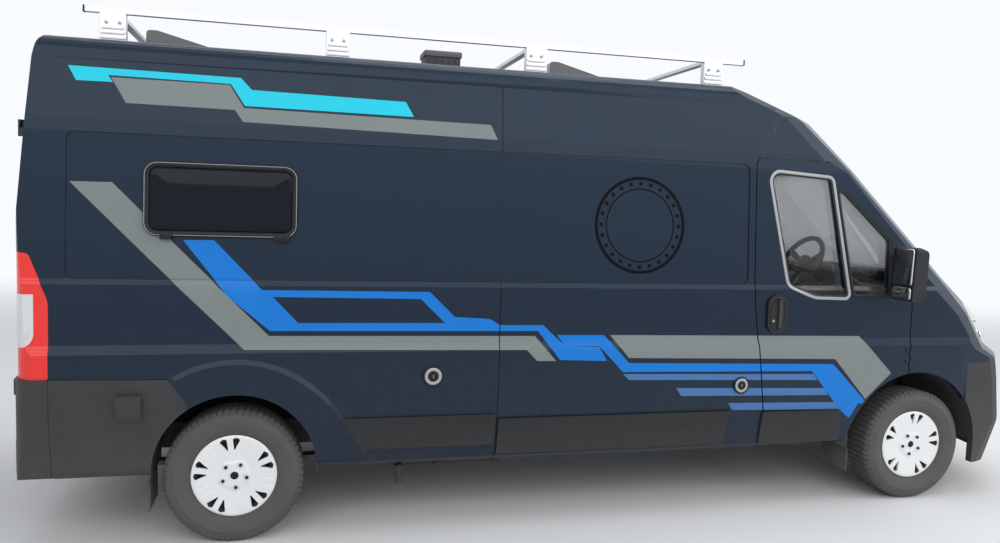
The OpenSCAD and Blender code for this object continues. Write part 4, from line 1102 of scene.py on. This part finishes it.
# headlamps: the CAD lamp's outer faces become a clear lens over a dark housing with bright bowls
headlampSet = {
    "looks": ((0.72, -0.55, 0.42), 0.35),       # way the outer faces look, and how closely
    "lensThick": 0.003,
    "depth": 0.034,
    # y, z, radius, finish
    "bowls": [(0.690, 0.985, 0.056, 0), (0.775, 1.020, 0.050, 0), (0.672, 0.900, 0.026, 1)],
    "dish": [(0.0, -0.020), (0.45, -0.017), (0.85, -0.004), (1, 0.008), (1.08, 0.010), (1.10, 0.004)],
    "bulb": [(0.0, 0.006), (0.16, 0.003), (0.22, -0.006), (0.2, -0.018)],
    "aim": (0.90, 0.30, 0.30),
    "behind": 0.030,
}


def makeHeadlamps():
    lens = outerFaces("headlamps", *headlampSet["looks"])
    housing = lens.copy()
    bmesh.ops.solidify(lens, geom=lens.faces[:], thickness=headlampSet["lensThick"])
    glass = keepPiece("headlampLens", lens, ["clearLens"])
    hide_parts("headlamps")
    pushMesh(housing, -headlampSet["depth"])
    keepPiece("headlampHousing", housing, ["smoothPlastic"])
    bowls = bmesh.new()
    tree = treeOf("headlamps")
    aimX, aimY, aimZ = headlampSet["aim"]
    for way in sides.values():
        for y, z, radius, finish in headlampSet["bowls"]:
            hit = tree.ray_cast(Vector((4, y * way, z)), Vector((-1, 0, 0)))[0]
            if hit is None:
                continue
            dish = lathe([(radius * r, d) for r, d in headlampSet["dish"]], 36, finish)
            joinInto(dish, lathe([(radius * r, d) for r, d in headlampSet["bulb"]], 20, 2))
            aim = Vector((aimX, aimY * way, aimZ)).normalized()
            joinInto(bowls, dish, Matrix.Translation(hit - aim * headlampSet["behind"]) @ facing(aim))
    keepPiece("headlampBowls", bowls, ["chromeBowl", "amberLens", "clearLens"])


makeHeadlamps()
print("lamps dressed")

# roof: rack foot clamps, rail caps, fan collars, equipment box
rackSet = {
    "rail": 0.760, "railZ": (2.616, 2.646), "railHalf": 0.0165,
    "clampOut": 0.0235,
    "feet": [-2.575, -1.496, -0.420, 0.661],
    "stud": [(0.0, 0.006), (0.006, 0.006), (0.0075, 0.0045), (0.0075, 0.0)],
    "studZ": 2.572,
    "ends": [-2.705, 0.860],
    "fans": [-2.310, 0.040],
    "collar": (0.222, 0.246, 2.500, 2.538),          # inner and outer half, low and high
    "box": ((-0.985, -0.40, 2.480), (-0.760, -0.21, 2.632)),
}


def makeRackFeet():
    for side, out in sides.items():
        bm = bmesh.new()
        y = out * (rackSet["rail"] + rackSet["clampOut"])
        for x in rackSet["feet"]:
            for k in range(3):                     # stepped clamp plates down the foot
                half, z = 0.058 - 0.004 * k, 2.492 + 0.024 * k
                joinInto(bm, boxMesh((x - half, y, z), (x + half, y + out * 0.006, z + 0.016), 0.002), mat=0)
            pad = boxMesh((x - 0.068, y - out * 0.055, 2.462), (x + 0.068, y + out * 0.010, 2.486), 0.004)
            joinInto(bm, pad, mat=1)
            for dx in (-0.03, 0.03):
                turn = Matrix.Rotation(0 if out > 0 else math.pi, 4, "Z")
                joinInto(bm, lathe(rackSet["stud"], 6, 2),
                         Matrix.Translation((x + dx, y + out * 0.006, rackSet["studZ"])) @ turn)
        keepPiece(f"rackClamps.{side}", bm, ["railAluminium", "sealRubber", "boltSteel"])
    caps = bmesh.new()
    low, high = rackSet["railZ"]
    for out in sides.values():
        for x in rackSet["ends"]:
            way, y, half = math.copysign(1, x), out * rackSet["rail"], rackSet["railHalf"]
            joinInto(caps, boxMesh((x - way * 0.004, y - half, low - 0.0015),
                                   (x + way * 0.006, y + half, high + 0.0015), 0.003))
    keepPiece("railCaps", caps, ["smoothPlastic"])


def makeFanCollars():
    bm = bmesh.new()
    inner, outer, low, high = rackSet["collar"]
    for x in rackSet["fans"]:
        for a, b in (((x - outer, -outer), (x + outer, -inner)), ((x - outer, inner), (x + outer, outer)),
                     ((x - outer, -inner), (x - inner, inner)), ((x + inner, -inner), (x + outer, inner))):
            joinInto(bm, boxMesh((*a, low), (*b, high), 0.004))
    keepPiece("fanCollars", bm, ["whitePlastic"])


def makeRoofBox():
    # small equipment box with a lid, ribs on the near wall and a cable
    (x0, y0, z0), (x1, y1, z1) = rackSet["box"]
    bm = boxMesh((x0 + 0.008, y0 + 0.008, z0), (x1 - 0.008, y1 - 0.008, z1 - 0.030), 0.010, 3)
    joinInto(bm, boxMesh((x0, y0, z1 - 0.040), (x1, y1, z1), 0.014, 3), mat=1)
    for t in range(5):
        x = x0 + 0.035 + 0.039 * t
        joinInto(bm, boxMesh((x - 0.004, y0 + 0.003, z0 + 0.02), (x + 0.004, y0 + 0.012, z1 - 0.045), 0.002))
    cable = [(x1 - 0.03, y1 - 0.04, 2.53), (x1 + 0.05, y1 - 0.03, 2.512), (x1 + 0.16, y1 + 0.02, 2.509)]
    joinInto(bm, tubePath(cable, 0.006, "sealRubber"), mat=0)
    keepPiece("roofBox", bm, ["cabinPlastic", "boxGrey"])


makeRackFeet()
makeFanCollars()
makeRoofBox()
print("roof dressed")

# filler covers and the hook-up flap on the right side
coverSet = {
    "covers": [(-0.991, 0.843, 0.056), (0.816, 0.753, 0.050)],        # x, z, radius
    "face": [(0.0, 0.0125), (0.30, 0.0125), (0.34, 0.0105), (0.52, 0.0100), (0.60, 0.0120), (0.72, 0.0125),
             (0.80, 0.0100), (0.93, 0.0110), (1.0, 0.0085), (1.02, 0.0020)],
    "brightBand": (0.55, 0.78),                                       # of the radius
    "flap": (-2.4675, 0.718, 0.0595, 0.063),                          # x, z, half sizes
    "flapOut": 0.0290,
}


def makeCovers():
    bm = bmesh.new()
    near, far = coverSet["brightBand"]
    for x, z, radius in coverSet["covers"]:
        y = -sectionY(z)
        face = lathe([(radius * r, h) for r, h in coverSet["face"]], 48)
        for f in face.faces:
            f.material_index = 1 if near < f.calc_center_median().xz.length / radius < far else 0
        mirrorMesh(face)
        joinInto(bm, face, Matrix.Translation((x, y, z)))
        keyhole = boxMesh((x - 0.002, y - 0.0140, z - 0.009), (x + 0.002, y - 0.0115, z + 0.009), 0.0006)
        joinInto(bm, keyhole, mat=2)
    keepPiece("coverFaces", bm, ["smoothPlastic", "windowTrim", "boltSteel"])
    x, z, dx, dz = coverSet["flap"]
    y = -sectionY(z) - coverSet["flapOut"]
    lid = boxMesh((x - dx + 0.006, y - 0.006, z - dz + 0.014), (x + dx - 0.006, y + 0.004, z + dz - 0.004), 0.004)
    joinInto(lid, boxMesh((x - dx + 0.014, y - 0.0095, z + dz - 0.012),
                          (x + dx - 0.014, y + 0.002, z + dz - 0.002), 0.003))
    keepPiece("hookupLid", lid, ["grainedPlastic"])


makeCovers()

# door handles and mirrors
handleSet = {
    "middle": (1.0285, 1.1675),
    "cup": (0.056, 0.105),
    "cupSteps": [(1.0, 0.0155), (0.93, 0.0195), (0.80, 0.0180), (0.70, 0.0125), (0.45, 0.0105)],   # share, height
    "bar": (0.012, 0.085),
    "barOut": (0.014, 0.016),
    "lock": [(0.0, 0.003), (0.007, 0.003), (0.009, 0.0)],
}
mirrorSet = {
    "x": 1.747, "y": (1.062, 1.250), "z": (1.262, 1.588),
    "panes": {"mirrorWide": (1.278, 1.347), "mirrorMain": (1.362, 1.572)},                         # low, high
    "lean": 0.0065 / 0.16,
    "corner": 0.018,
    "steps": [(0.0, 0.0005), (0.003, 0.0035), (0.012, 0.0042)],                                    # inset, rise
}


def makeHandle(side):
    out, body = sides[side], f"front_door_{side}"
    cx, cz = handleSet["middle"]
    rx, rz = handleSet["cup"]
    loop = [(rx * p.x, rz * math.copysign(abs(p.y) ** 0.8, p.y)) for p in circle(1, 48)]
    rows = [[sideSpot(side, cx + dx * k, cz + dz * k, h) for dx, dz in loop] for k, h in handleSet["cupSteps"]]
    keepPiece(f"handleCup.{side}", loftMesh(rows, ends=(-1,)), ["smoothPlastic"], body=body)
    wide, tall = handleSet["bar"]
    low, thick = handleSet["barOut"]
    x, y = cx + 0.012, (sectionY(cz) + low) * out
    bar = boxMesh((x - wide, y, cz - tall), (x + wide, y + out * thick, cz + tall), 0.007, 3)
    turn = Matrix.Rotation(0 if out > 0 else math.pi, 4, "Z")
    spot = Matrix.Translation((cx - 0.026, y + out * 0.002, cz - 0.040))
    joinInto(bar, lathe(handleSet["lock"], 24, 1), spot @ turn)
    keepPiece(f"handleBar.{side}", bar, ["grainedPlastic", "boltSteel"], body=body)


def makeMirror(side):
    (y0, y1), r = mirrorSet["y"], mirrorSet["corner"]
    for name, (low, high) in mirrorSet["panes"].items():
        loop = roundedLoop([(y0 + 0.014, low, r), (y1 - 0.014, low, r), (y1 - 0.018, high, r),
                            (y0 + 0.020, high, r)], 5)
        rows = []
        for inset, rise in mirrorSet["steps"]:
            rows.append([(mirrorSet["x"] + mirrorSet["lean"] * (p.y - mirrorSet["z"][0]) - rise - 0.001,
                          sides[side] * p.x, p.y) for p in offsetLoop(loop, -inset)])
        keepPiece(f"{name}.{side}", loftMesh(rows, ends=(-1,)), ["mirrorGlass"], body=f"front_door_{side}")


for doorSide in sides:
    makeHandle(doorSide)
    makeMirror(doorSide)
print("covers, handles and mirrors dressed")

# cab seats: pads stuffed by a short cloth run, then stitched channels
seatSet = {
    "across": 0.470,                               # seat middles from the van's middle
    "pads": {                                      # side outline in x and z, half width, cap on the swelling, edge
        "cushion": ([(0.985, 0.722), (1.515, 0.728), (1.525, 0.800), (1.480, 0.842), (1.000, 0.800)],
                    0.222, 0.024, 0.030),
        "back": ([(0.990, 0.815), (1.075, 0.815), (1.045, 1.100), (0.985, 1.455), (0.920, 1.455), (0.940, 1.100)],
                 0.218, 0.022, 0.030),
        "headrest": ([(0.918, 1.488), (0.982, 1.488), (0.974, 1.640), (0.925, 1.640)], 0.112, 0.016, 0.022),
    },
    "base": [(1.010, 1.455, 0.200, 0.5355, 0.640, 0.012), (0.995, 1.480, 0.215, 0.638, 0.735, 0.020)],
    "voxel": 0.008,
    "frames": 20,
    "pressure": 4.0,
    "mass": 0.3,
    "channel": 0.005,                              # depth, half width, pitch and share of the width
    "channelHalf": 0.006,
    "channelPitch": 0.11,
    "sewn": 0.62,
}


def padBlock(outline, half, bevel):
    bm = bmesh.new()
    near = [bm.verts.new((x, -half, z)) for x, z in outline]
    far = [bm.verts.new((x, half, z)) for x, z in outline]
    n = len(outline)
    bm.faces.new(near)
    bm.faces.new(far[::-1])
    for i in range(n):
        bm.faces.new([near[(i + 1) % n], near[i], far[i], far[(i + 1) % n]])
    bmesh.ops.recalc_face_normals(bm, faces=bm.faces)
    bmesh.ops.bevel(bm, geom=bm.edges[:], offset=bevel, segments=3, profile=0.5, affect="EDGES")
    return bm


def stuffPad(bm, cap):
    # voxel remesh, pressure for a few frames, and no point moves further than the cap
    holder = holderOf("padStart", bm)
    remesh = holder.modifiers.new("voxels", "REMESH")
    remesh.mode = "VOXEL"
    remesh.voxel_size = seatSet["voxel"]
    fine = evaluatedMesh(holder)
    bpy.data.objects.remove(holder)
    pad = bpy.data.objects.new("padCloth", fine)
    scene.collection.objects.link(pad)
    cloth = pad.modifiers.new("stuffing", "CLOTH")
    cloth.settings.quality = 4
    cloth.settings.mass = seatSet["mass"]
    cloth.settings.use_pressure = True
    cloth.settings.uniform_pressure_force = seatSet["pressure"]
    cloth.settings.effector_weights.gravity = 0.0
    cloth.point_cache.frame_end = seatSet["frames"]
    for f in range(1, seatSet["frames"] + 1):
        scene.frame_set(f)
    graph = bpy.context.evaluated_depsgraph_get()
    swollen = [v.co.copy() for v in pad.evaluated_get(graph).data.vertices]
    pad.modifiers.remove(cloth)
    bpy.data.objects.remove(pad)
    scene.frame_set(1)
    for v, place in zip(fine.vertices, swollen):
        move = place - v.co
        v.co += move if move.length < cap else move * (cap / move.length)
    made = meshToBm(fine)
    bmesh.ops.smooth_vert(made, verts=made.verts, factor=0.5, use_axis_x=True, use_axis_y=True, use_axis_z=True)
    return made


def sewChannels(bm, half):
    # two lengthwise seams and a row of cross channels between them
    bm.normal_update()
    seam, pitch, wide = half * seatSet["sewn"], seatSet["channelPitch"], seatSet["channelHalf"]
    moves = []
    for v in bm.verts:
        deep = math.exp(-(abs(abs(v.co.y) - seam) / wide) ** 2)
        if abs(v.co.y) < seam:
            across = abs(((v.co.z + v.co.x) / pitch) % 1.0 - 0.5) * pitch
            deep = max(deep, 0.7 * math.exp(-(across / wide) ** 2))
        moves.append(v.normal * -seatSet["channel"] * deep)
    for v, move in zip(bm.verts, moves):
        v.co += move


def makeSeats():
    stuffed = {}
    for label, (outline, half, cap, edge) in seatSet["pads"].items():
        stuffed[label] = stuffPad(padBlock(outline, half, edge), cap)
        if label != "headrest":
            sewChannels(stuffed[label], half)
    for side, out in sides.items():
        y = out * seatSet["across"]
        for label, bm in stuffed.items():
            copy = bm.copy()
            bmesh.ops.translate(copy, vec=(0, y, 0), verts=copy.verts)
            piece = keepPiece(f"seat.{label}.{side}", copy, ["seatCloth"], smoothAngle=80)
            if side == "right" and label == "cushion":
                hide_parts("cab_seats")
        base = bmesh.new()
        for x0, x1, half, z0, z1, edge in seatSet["base"]:
            joinInto(base, boxMesh((x0, y - half, z0), (x1, y + half, z1), edge))
        for dy in (-0.06, 0.06):                    # headrest posts
            joinInto(base, tubePath([(0.948, y + dy, 1.44), (0.947, y + dy, 1.52)], 0.006, "boltSteel"), mat=1)
        knob = [(1.06, y + 0.225, 0.78), (1.06, y + 0.252, 0.78)]
        joinInto(base, tubePath(knob, 0.030, "cabinPlastic", facets=20), mat=0)
        keepPiece(f"seatBase.{side}", base, ["cabinPlastic", "boltSteel"])
    for bm in stuffed.values():
        bm.free()


makeSeats()
print("seats stuffed")

# quilted foil mats behind the windscreen and the left door glass; pairs are at the lower and upper edge
matSet = {
    "screen": {"z": (1.400, 2.062), "half": (0.775, 0.725), "columns": 64, "rows": 44,
               "glassZ": (1.430, 2.000), "glassHalf": (0.755, 0.685)},
    "door": {"z": (1.335, 1.940), "front": (1.450, 1.370), "rear": (1.075, 1.005), "columns": 32, "rows": 36},
    "behind": 0.050,
    "backWay": (0.72, 0, 0.69),
    "cornerSlope": 0.26,                            # of the screen, past the glass's side edge
    "doorBehind": 0.0275,
    "puff": 0.006,
    "stitch": 0.085,
    "thick": 0.004,
}


def quiltHeight(u, v):
    a, b = (u + v) / matSet["stitch"], (u - v) / matSet["stitch"]
    return matSet["puff"] * (abs(math.sin(math.pi * a)) * abs(math.sin(math.pi * b))) ** 0.6


def quiltSheet(name, grid, body):
    # grid of points to one quilted sheet
    bm = loftMesh(grid, closed=False, outward=False)
    area = sum(f.calc_area() for f in bm.faces)
    piece = keepPiece(name, bm, ["quiltedFoil"], body, 60)
    thick = piece.modifiers.new("wadding", "SOLIDIFY")
    thick.thickness = matSet["thick"]
    thick.offset = 0


def makeMats():
    look = matSet["screen"]
    tree = treeOf("windscreen")

    def screenPoint(s, t):
        y, z = lerp(*look["half"], t) * (2 * s - 1), lerp(*look["z"], t)
        glassHalf = lerp(*look["glassHalf"], t)
        onY = min(max(y, -glassHalf), glassHalf)
        onZ = min(max(z, look["glassZ"][0]), look["glassZ"][1])
        hit = tree.ray_cast(Vector((0, onY, onZ)), Vector((1, 0, 0)))[0]
        # past the glass's edge the mat goes on along its slope
        spot = Vector((hit.x - (z - onZ) - matSet["cornerSlope"] * abs(y - onY), y, z))
        return spot - Vector(matSet["backWay"]) * (matSet["behind"] - quiltHeight(y, z * 1.4))

    def doorPoint(s, t):
        x, z = lerp(lerp(*look["rear"], t), lerp(*look["front"], t), s), lerp(*look["z"], t)
        return Vector((x, sectionY(z) - matSet["doorBehind"] + quiltHeight(x, z), z))

    def grid(point):
        return [[point(i / look["columns"], j / look["rows"]) for i in range(look["columns"] + 1)]
                for j in range(look["rows"] + 1)]

    quiltSheet("screenMat", grid(screenPoint), "body")
    look = matSet["door"]
    quiltSheet("doorMat.left", grid(doorPoint), "front_door_left")


makeMats()
print("mats hung")

# steering wheel and instrument hood, at the height the door glass shows them
helmSet = {
    "middle": (1.560, -0.430, 1.430),
    "radius": 0.188,
    "grip": 0.0165,
    "lean": 30,                             # ring's top forward of upright, degrees
    "spokes": [90, 205, 335],               # three spokes, degrees round the ring
    "dish": 0.030,                          # spokes fall towards the hub
    "hub": [(0.0, 0.004), (0.045, 0.001), (0.064, -0.008), (0.070, -0.022), (0.064, -0.044), (0.040, -0.060),
            (0.036, -0.250), (0.030, -0.252), (0.0, -0.252)],
    "stalk": [(0.040, -0.075, 0.0), (0.110, -0.078, 0.012), (0.165, -0.070, 0.022)],
    "hood": {"x": (1.690, 1.960), "y": (-0.640, -0.225), "z": (1.262, 1.440), "dialIn": 0.030},
}


def makeHelm():
    # made flat about Y, then leaned and set in place
    radius, grip = helmSet["radius"], helmSet["grip"]
    bm = lathe([(radius + grip * math.cos(math.tau * i / 14), grip * math.sin(math.tau * i / 14))
                for i in range(15)], 72)
    for degrees in helmSet["spokes"]:
        spoke = boxMesh((0.030, -0.010, -0.020), (radius, 0.006, 0.020), 0.005, 3)
        for v in spoke.verts:
            v.co.y -= helmSet["dish"] * (1 - v.co.x / radius)
        joinInto(bm, spoke, Matrix.Rotation(-math.radians(degrees), 4, "Y"))
    joinInto(bm, lathe(helmSet["hub"], 40))
    for way in (-1, 1):
        stalk = [(way * x, y, z) for x, y, z in helmSet["stalk"]]
        joinInto(bm, tubePath(stalk, 0.008, "smoothPlastic"), mat=0)
    bmesh.ops.remove_doubles(bm, verts=bm.verts, dist=0.00001)
    bmesh.ops.recalc_face_normals(bm, faces=bm.faces)
    lean = math.radians(helmSet["lean"])
    face, across = Vector((-math.cos(lean), 0, math.sin(lean))), Vector((0, -1, 0))    # face looks at the driver
    turn = Matrix((across, face, across.cross(face))).transposed().to_4x4()
    bmesh.ops.transform(bm, matrix=Matrix.Translation(helmSet["middle"]) @ turn, verts=bm.verts)
    helm = keepPiece("helm", bm, ["smoothPlastic"])
    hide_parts("steering_wheel")


def makeDialHood():
    # arched across, falling away forwards, with the dials set into its near end
    hood = helmSet["hood"]
    (x0, x1), (y0, y1), (low, high) = hood["x"], hood["y"], hood["z"]
    middle, half = (y0 + y1) / 2, (y1 - y0) / 2
    rows = []
    for t in (i / 12 for i in range(13)):
        rise = (high - low) * (1 - t ** 2.2)
        rows.append([(lerp(x0, x1, t), middle + half * u, low + rise * (1 - abs(u) ** 4) ** 0.6)
                     for u in (2 * j / 24 - 1 for j in range(25))])
    dial = [(x0 + hood["dialIn"], (y - middle) * 0.94 + middle, low + (z - low) * 0.90) for x, y, z in rows[0]]
    bm = loftMesh([dial, *rows], closed=False, ends=(0,))
    if max(bm.faces, key=lambda f: f.calc_center_median().z).normal.z < 0:
        bmesh.ops.reverse_faces(bm, faces=bm.faces)
    keepPiece("dialHood", bm, ["cabinPlastic"])


makeHelm()
makeDialHood()

# strip that carries the front liner out to the arch's skin
archSet = {"middle": (2.035, 0.350), "radius": (0.4555, 0.4615), "y": (0.944, 0.992), "degrees": (2, 100),
           "steps": 40}


def makeArchStrips():
    bm = bmesh.new()
    (cx, cz), (r0, r1), (y0, y1) = archSet["middle"], archSet["radius"], archSet["y"]
    for out in sides.values():
        rings = []
        for i in range(archSet["steps"] + 1):
            a = math.radians(lerp(*archSet["degrees"], i / archSet["steps"]))
            rings.append([(cx + r * math.cos(a), out * y, cz + r * math.sin(a))
                          for r, y in ((r0, y0), (r0, y1), (r1, y1), (r1, y0))])
        joinInto(bm, loftMesh(rings, ends=(0, -1)))
    keepPiece("archStrips", bm, ["underseal"])


makeArchStrips()

# radiator behind the lower intake: a row of fins between two tanks, on a dark shroud
radiatorSet = {"x": (2.802, 2.828), "half": 0.530, "z": (0.285, 0.505), "fins": 118, "fin": 0.0022, "tank": 0.045}


def makeRadiator():
    (x0, x1), (z0, z1), half = radiatorSet["x"], radiatorSet["z"], radiatorSet["half"]
    fins = radiatorSet["fins"]
    fin = boxMesh((x0, -half, z0), (x1, -half + radiatorSet["fin"], z1), 0.0005, 1)
    bm = bakeTree(fin, rowTree, "chassisSteel", Count=fins, Step=(0, 2 * half / fins, 0))
    for out in sides.values():
        joinInto(bm, boxMesh((x0 - 0.010, out * half, z0 - 0.010),
                             (x1 + 0.006, out * (half + radiatorSet["tank"]), z1 + 0.010), 0.010, 3), mat=1)
    joinInto(bm, boxMesh((x0 - 0.012, -half, z0 - 0.004), (x0 - 0.006, half, z1 + 0.004), 0.002, 1), mat=1)
    keepPiece("radiator", bm, ["chassisSteel", "smoothPlastic"])


makeRadiator()

# wipers, parked along the foot of the windscreen
wiperSet = {
    "pairs": [((-0.54, 1.452), (0.02, 1.520)), ((0.10, 1.452), (0.66, 1.520))],   # pivot and tip, as y and z
    "blade": 0.60,
    "bladeAt": 0.56,                                # of the arm
    "off": (0.70, 0, 0.71),                         # way off the screen
    "armRadius": 0.0065,
    "bladeRadius": 0.0055,
    "hub": [(0.0, 0.030), (0.012, 0.030), (0.017, 0.024), (0.019, 0.0)],
}


def makeWipers():
    tree = treeOf("windscreen", "cab_frame")
    off = Vector(wiperSet["off"])

    def onScreen(y, z, lift):
        return tree.ray_cast(Vector((4, y, z)), Vector((-1, 0, 0)))[0] + off * lift

    bm = bmesh.new()
    for (y0, z0), (y1, z1) in wiperSet["pairs"]:
        joinInto(bm, lathe(wiperSet["hub"], 24), Matrix.Translation(onScreen(y0, z0, 0.0)) @ facing(off), mat=0)
        arm = [onScreen(lerp(y0, y1, t), lerp(z0, z1, t), 0.026 + 0.014 * math.sin(math.pi * t))
               for t in (0, 0.15, 0.4, 0.7, 1.0)]
        joinInto(bm, tubePath(arm, wiperSet["armRadius"], "smoothPlastic", facets=8), mat=0)
        y, z = lerp(y0, y1, wiperSet["bladeAt"]), lerp(z0, z1, wiperSet["bladeAt"])
        blade = [onScreen(y + wiperSet["blade"] * s, z + 0.03 * s + 0.006, 0.010)
                 for s in (-0.5, -0.3, -0.1, 0.1, 0.3, 0.5)]
        joinInto(bm, tubePath(blade, wiperSet["bladeRadius"], "sealRubber", facets=8), mat=1)
        joinInto(bm, tubePath([arm[2], blade[2]], 0.006, "smoothPlastic", facets=8), mat=0)
    keepPiece("wipers", bm, ["smoothPlastic", "sealRubber"])


makeWipers()

# rear end: handle, high brake lamp, buffers; left side: the sliding door's rail
rearSet = {
    "handle": (-0.060, 1.160),
    "lamp": 2.418,
    "buffer": ((-2.994, 0.806, 0.766), (-2.950, 0.925, 0.850)),
    "rail": (-2.250, -0.660, 0.925, 0.024),         # ends, height, half height
}


def makeRear():
    tree = treeOf("rear_door_right", "rear_door_left", "roof")

    def rearX(y, z):
        return tree.ray_cast(Vector((-4, y, z)), Vector((1, 0, 0)))[0].x

    y, z = rearSet["handle"]
    x = rearX(y, z)
    bm = boxMesh((x - 0.012, y - 0.050, z - 0.105), (x + 0.001, y + 0.050, z + 0.105), 0.005)
    joinInto(bm, boxMesh((x - 0.034, y - 0.014, z - 0.088), (x - 0.008, y + 0.014, z + 0.088), 0.006))
    keepPiece("rearHandle", bm, ["smoothPlastic"], body="rear_door_right")
    z = rearSet["lamp"]
    x = rearX(0.0, z)
    lamp = boxMesh((x - 0.016, -0.210, z - 0.018), (x + 0.006, 0.210, z + 0.018), 0.005)
    keepPiece("highBrakeLamp", lamp, ["redLens"])
    bm = bmesh.new()
    for out in sides.values():
        joinInto(bm, boxMesh(*((x, out * y, z) for x, y, z in rearSet["buffer"]), 0.012, 3))
    keepPiece("rearBuffers", bm, ["grainedPlastic"])
    x0, x1, z, half = rearSet["rail"]
    y = sectionY(z)
    rail = boxMesh((x0, y - 0.004, z - half), (x1, y + 0.010, z + half), 0.006)
    joinInto(rail, boxMesh((x0 + 0.02, y + 0.008, z - 0.008), (x1 - 0.01, y + 0.0125, z + 0.008), 0.002))
    keepPiece("slideRail", rail, ["smoothPlastic"])


makeRear()

# plain ring on the middle panels, tone on tone
ringSet = {
    "middle": (0.165, 1.660),
    "bands": [(0.270, 0.252), (0.205, 0.198)],
    "steps": 72,
    "dashes": 24,
    "dash": (0.222, 0.242),
    "dashHalf": 0.16,                               # of the dashes' spacing
}


def makeRing():
    cx, cz = ringSet["middle"]
    near, far = ringSet["dash"]
    dashes = []
    for k in range(ringSet["dashes"]):
        a, b = (math.tau * (k + s * ringSet["dashHalf"]) / ringSet["dashes"] for s in (-1, 1))
        dashes.append([Vector((cx + r * math.cos(t), cz + r * math.sin(t)))
                       for r, t in ((near, a), (far, a), (far, b), (near, b))])
    for side in sides:
        for k, band in enumerate(ringSet["bands"]):
            loops = [circle(radius, ringSet["steps"], (cx, cz)) for radius in band]
            filmOnSide(f"ringBand{k}", "shadeVinyl", loops, side)
        filmOnSide("ringDashes", "shadeVinyl", dashes, side, apart=True)


makeRing()
print("rear and ring added")
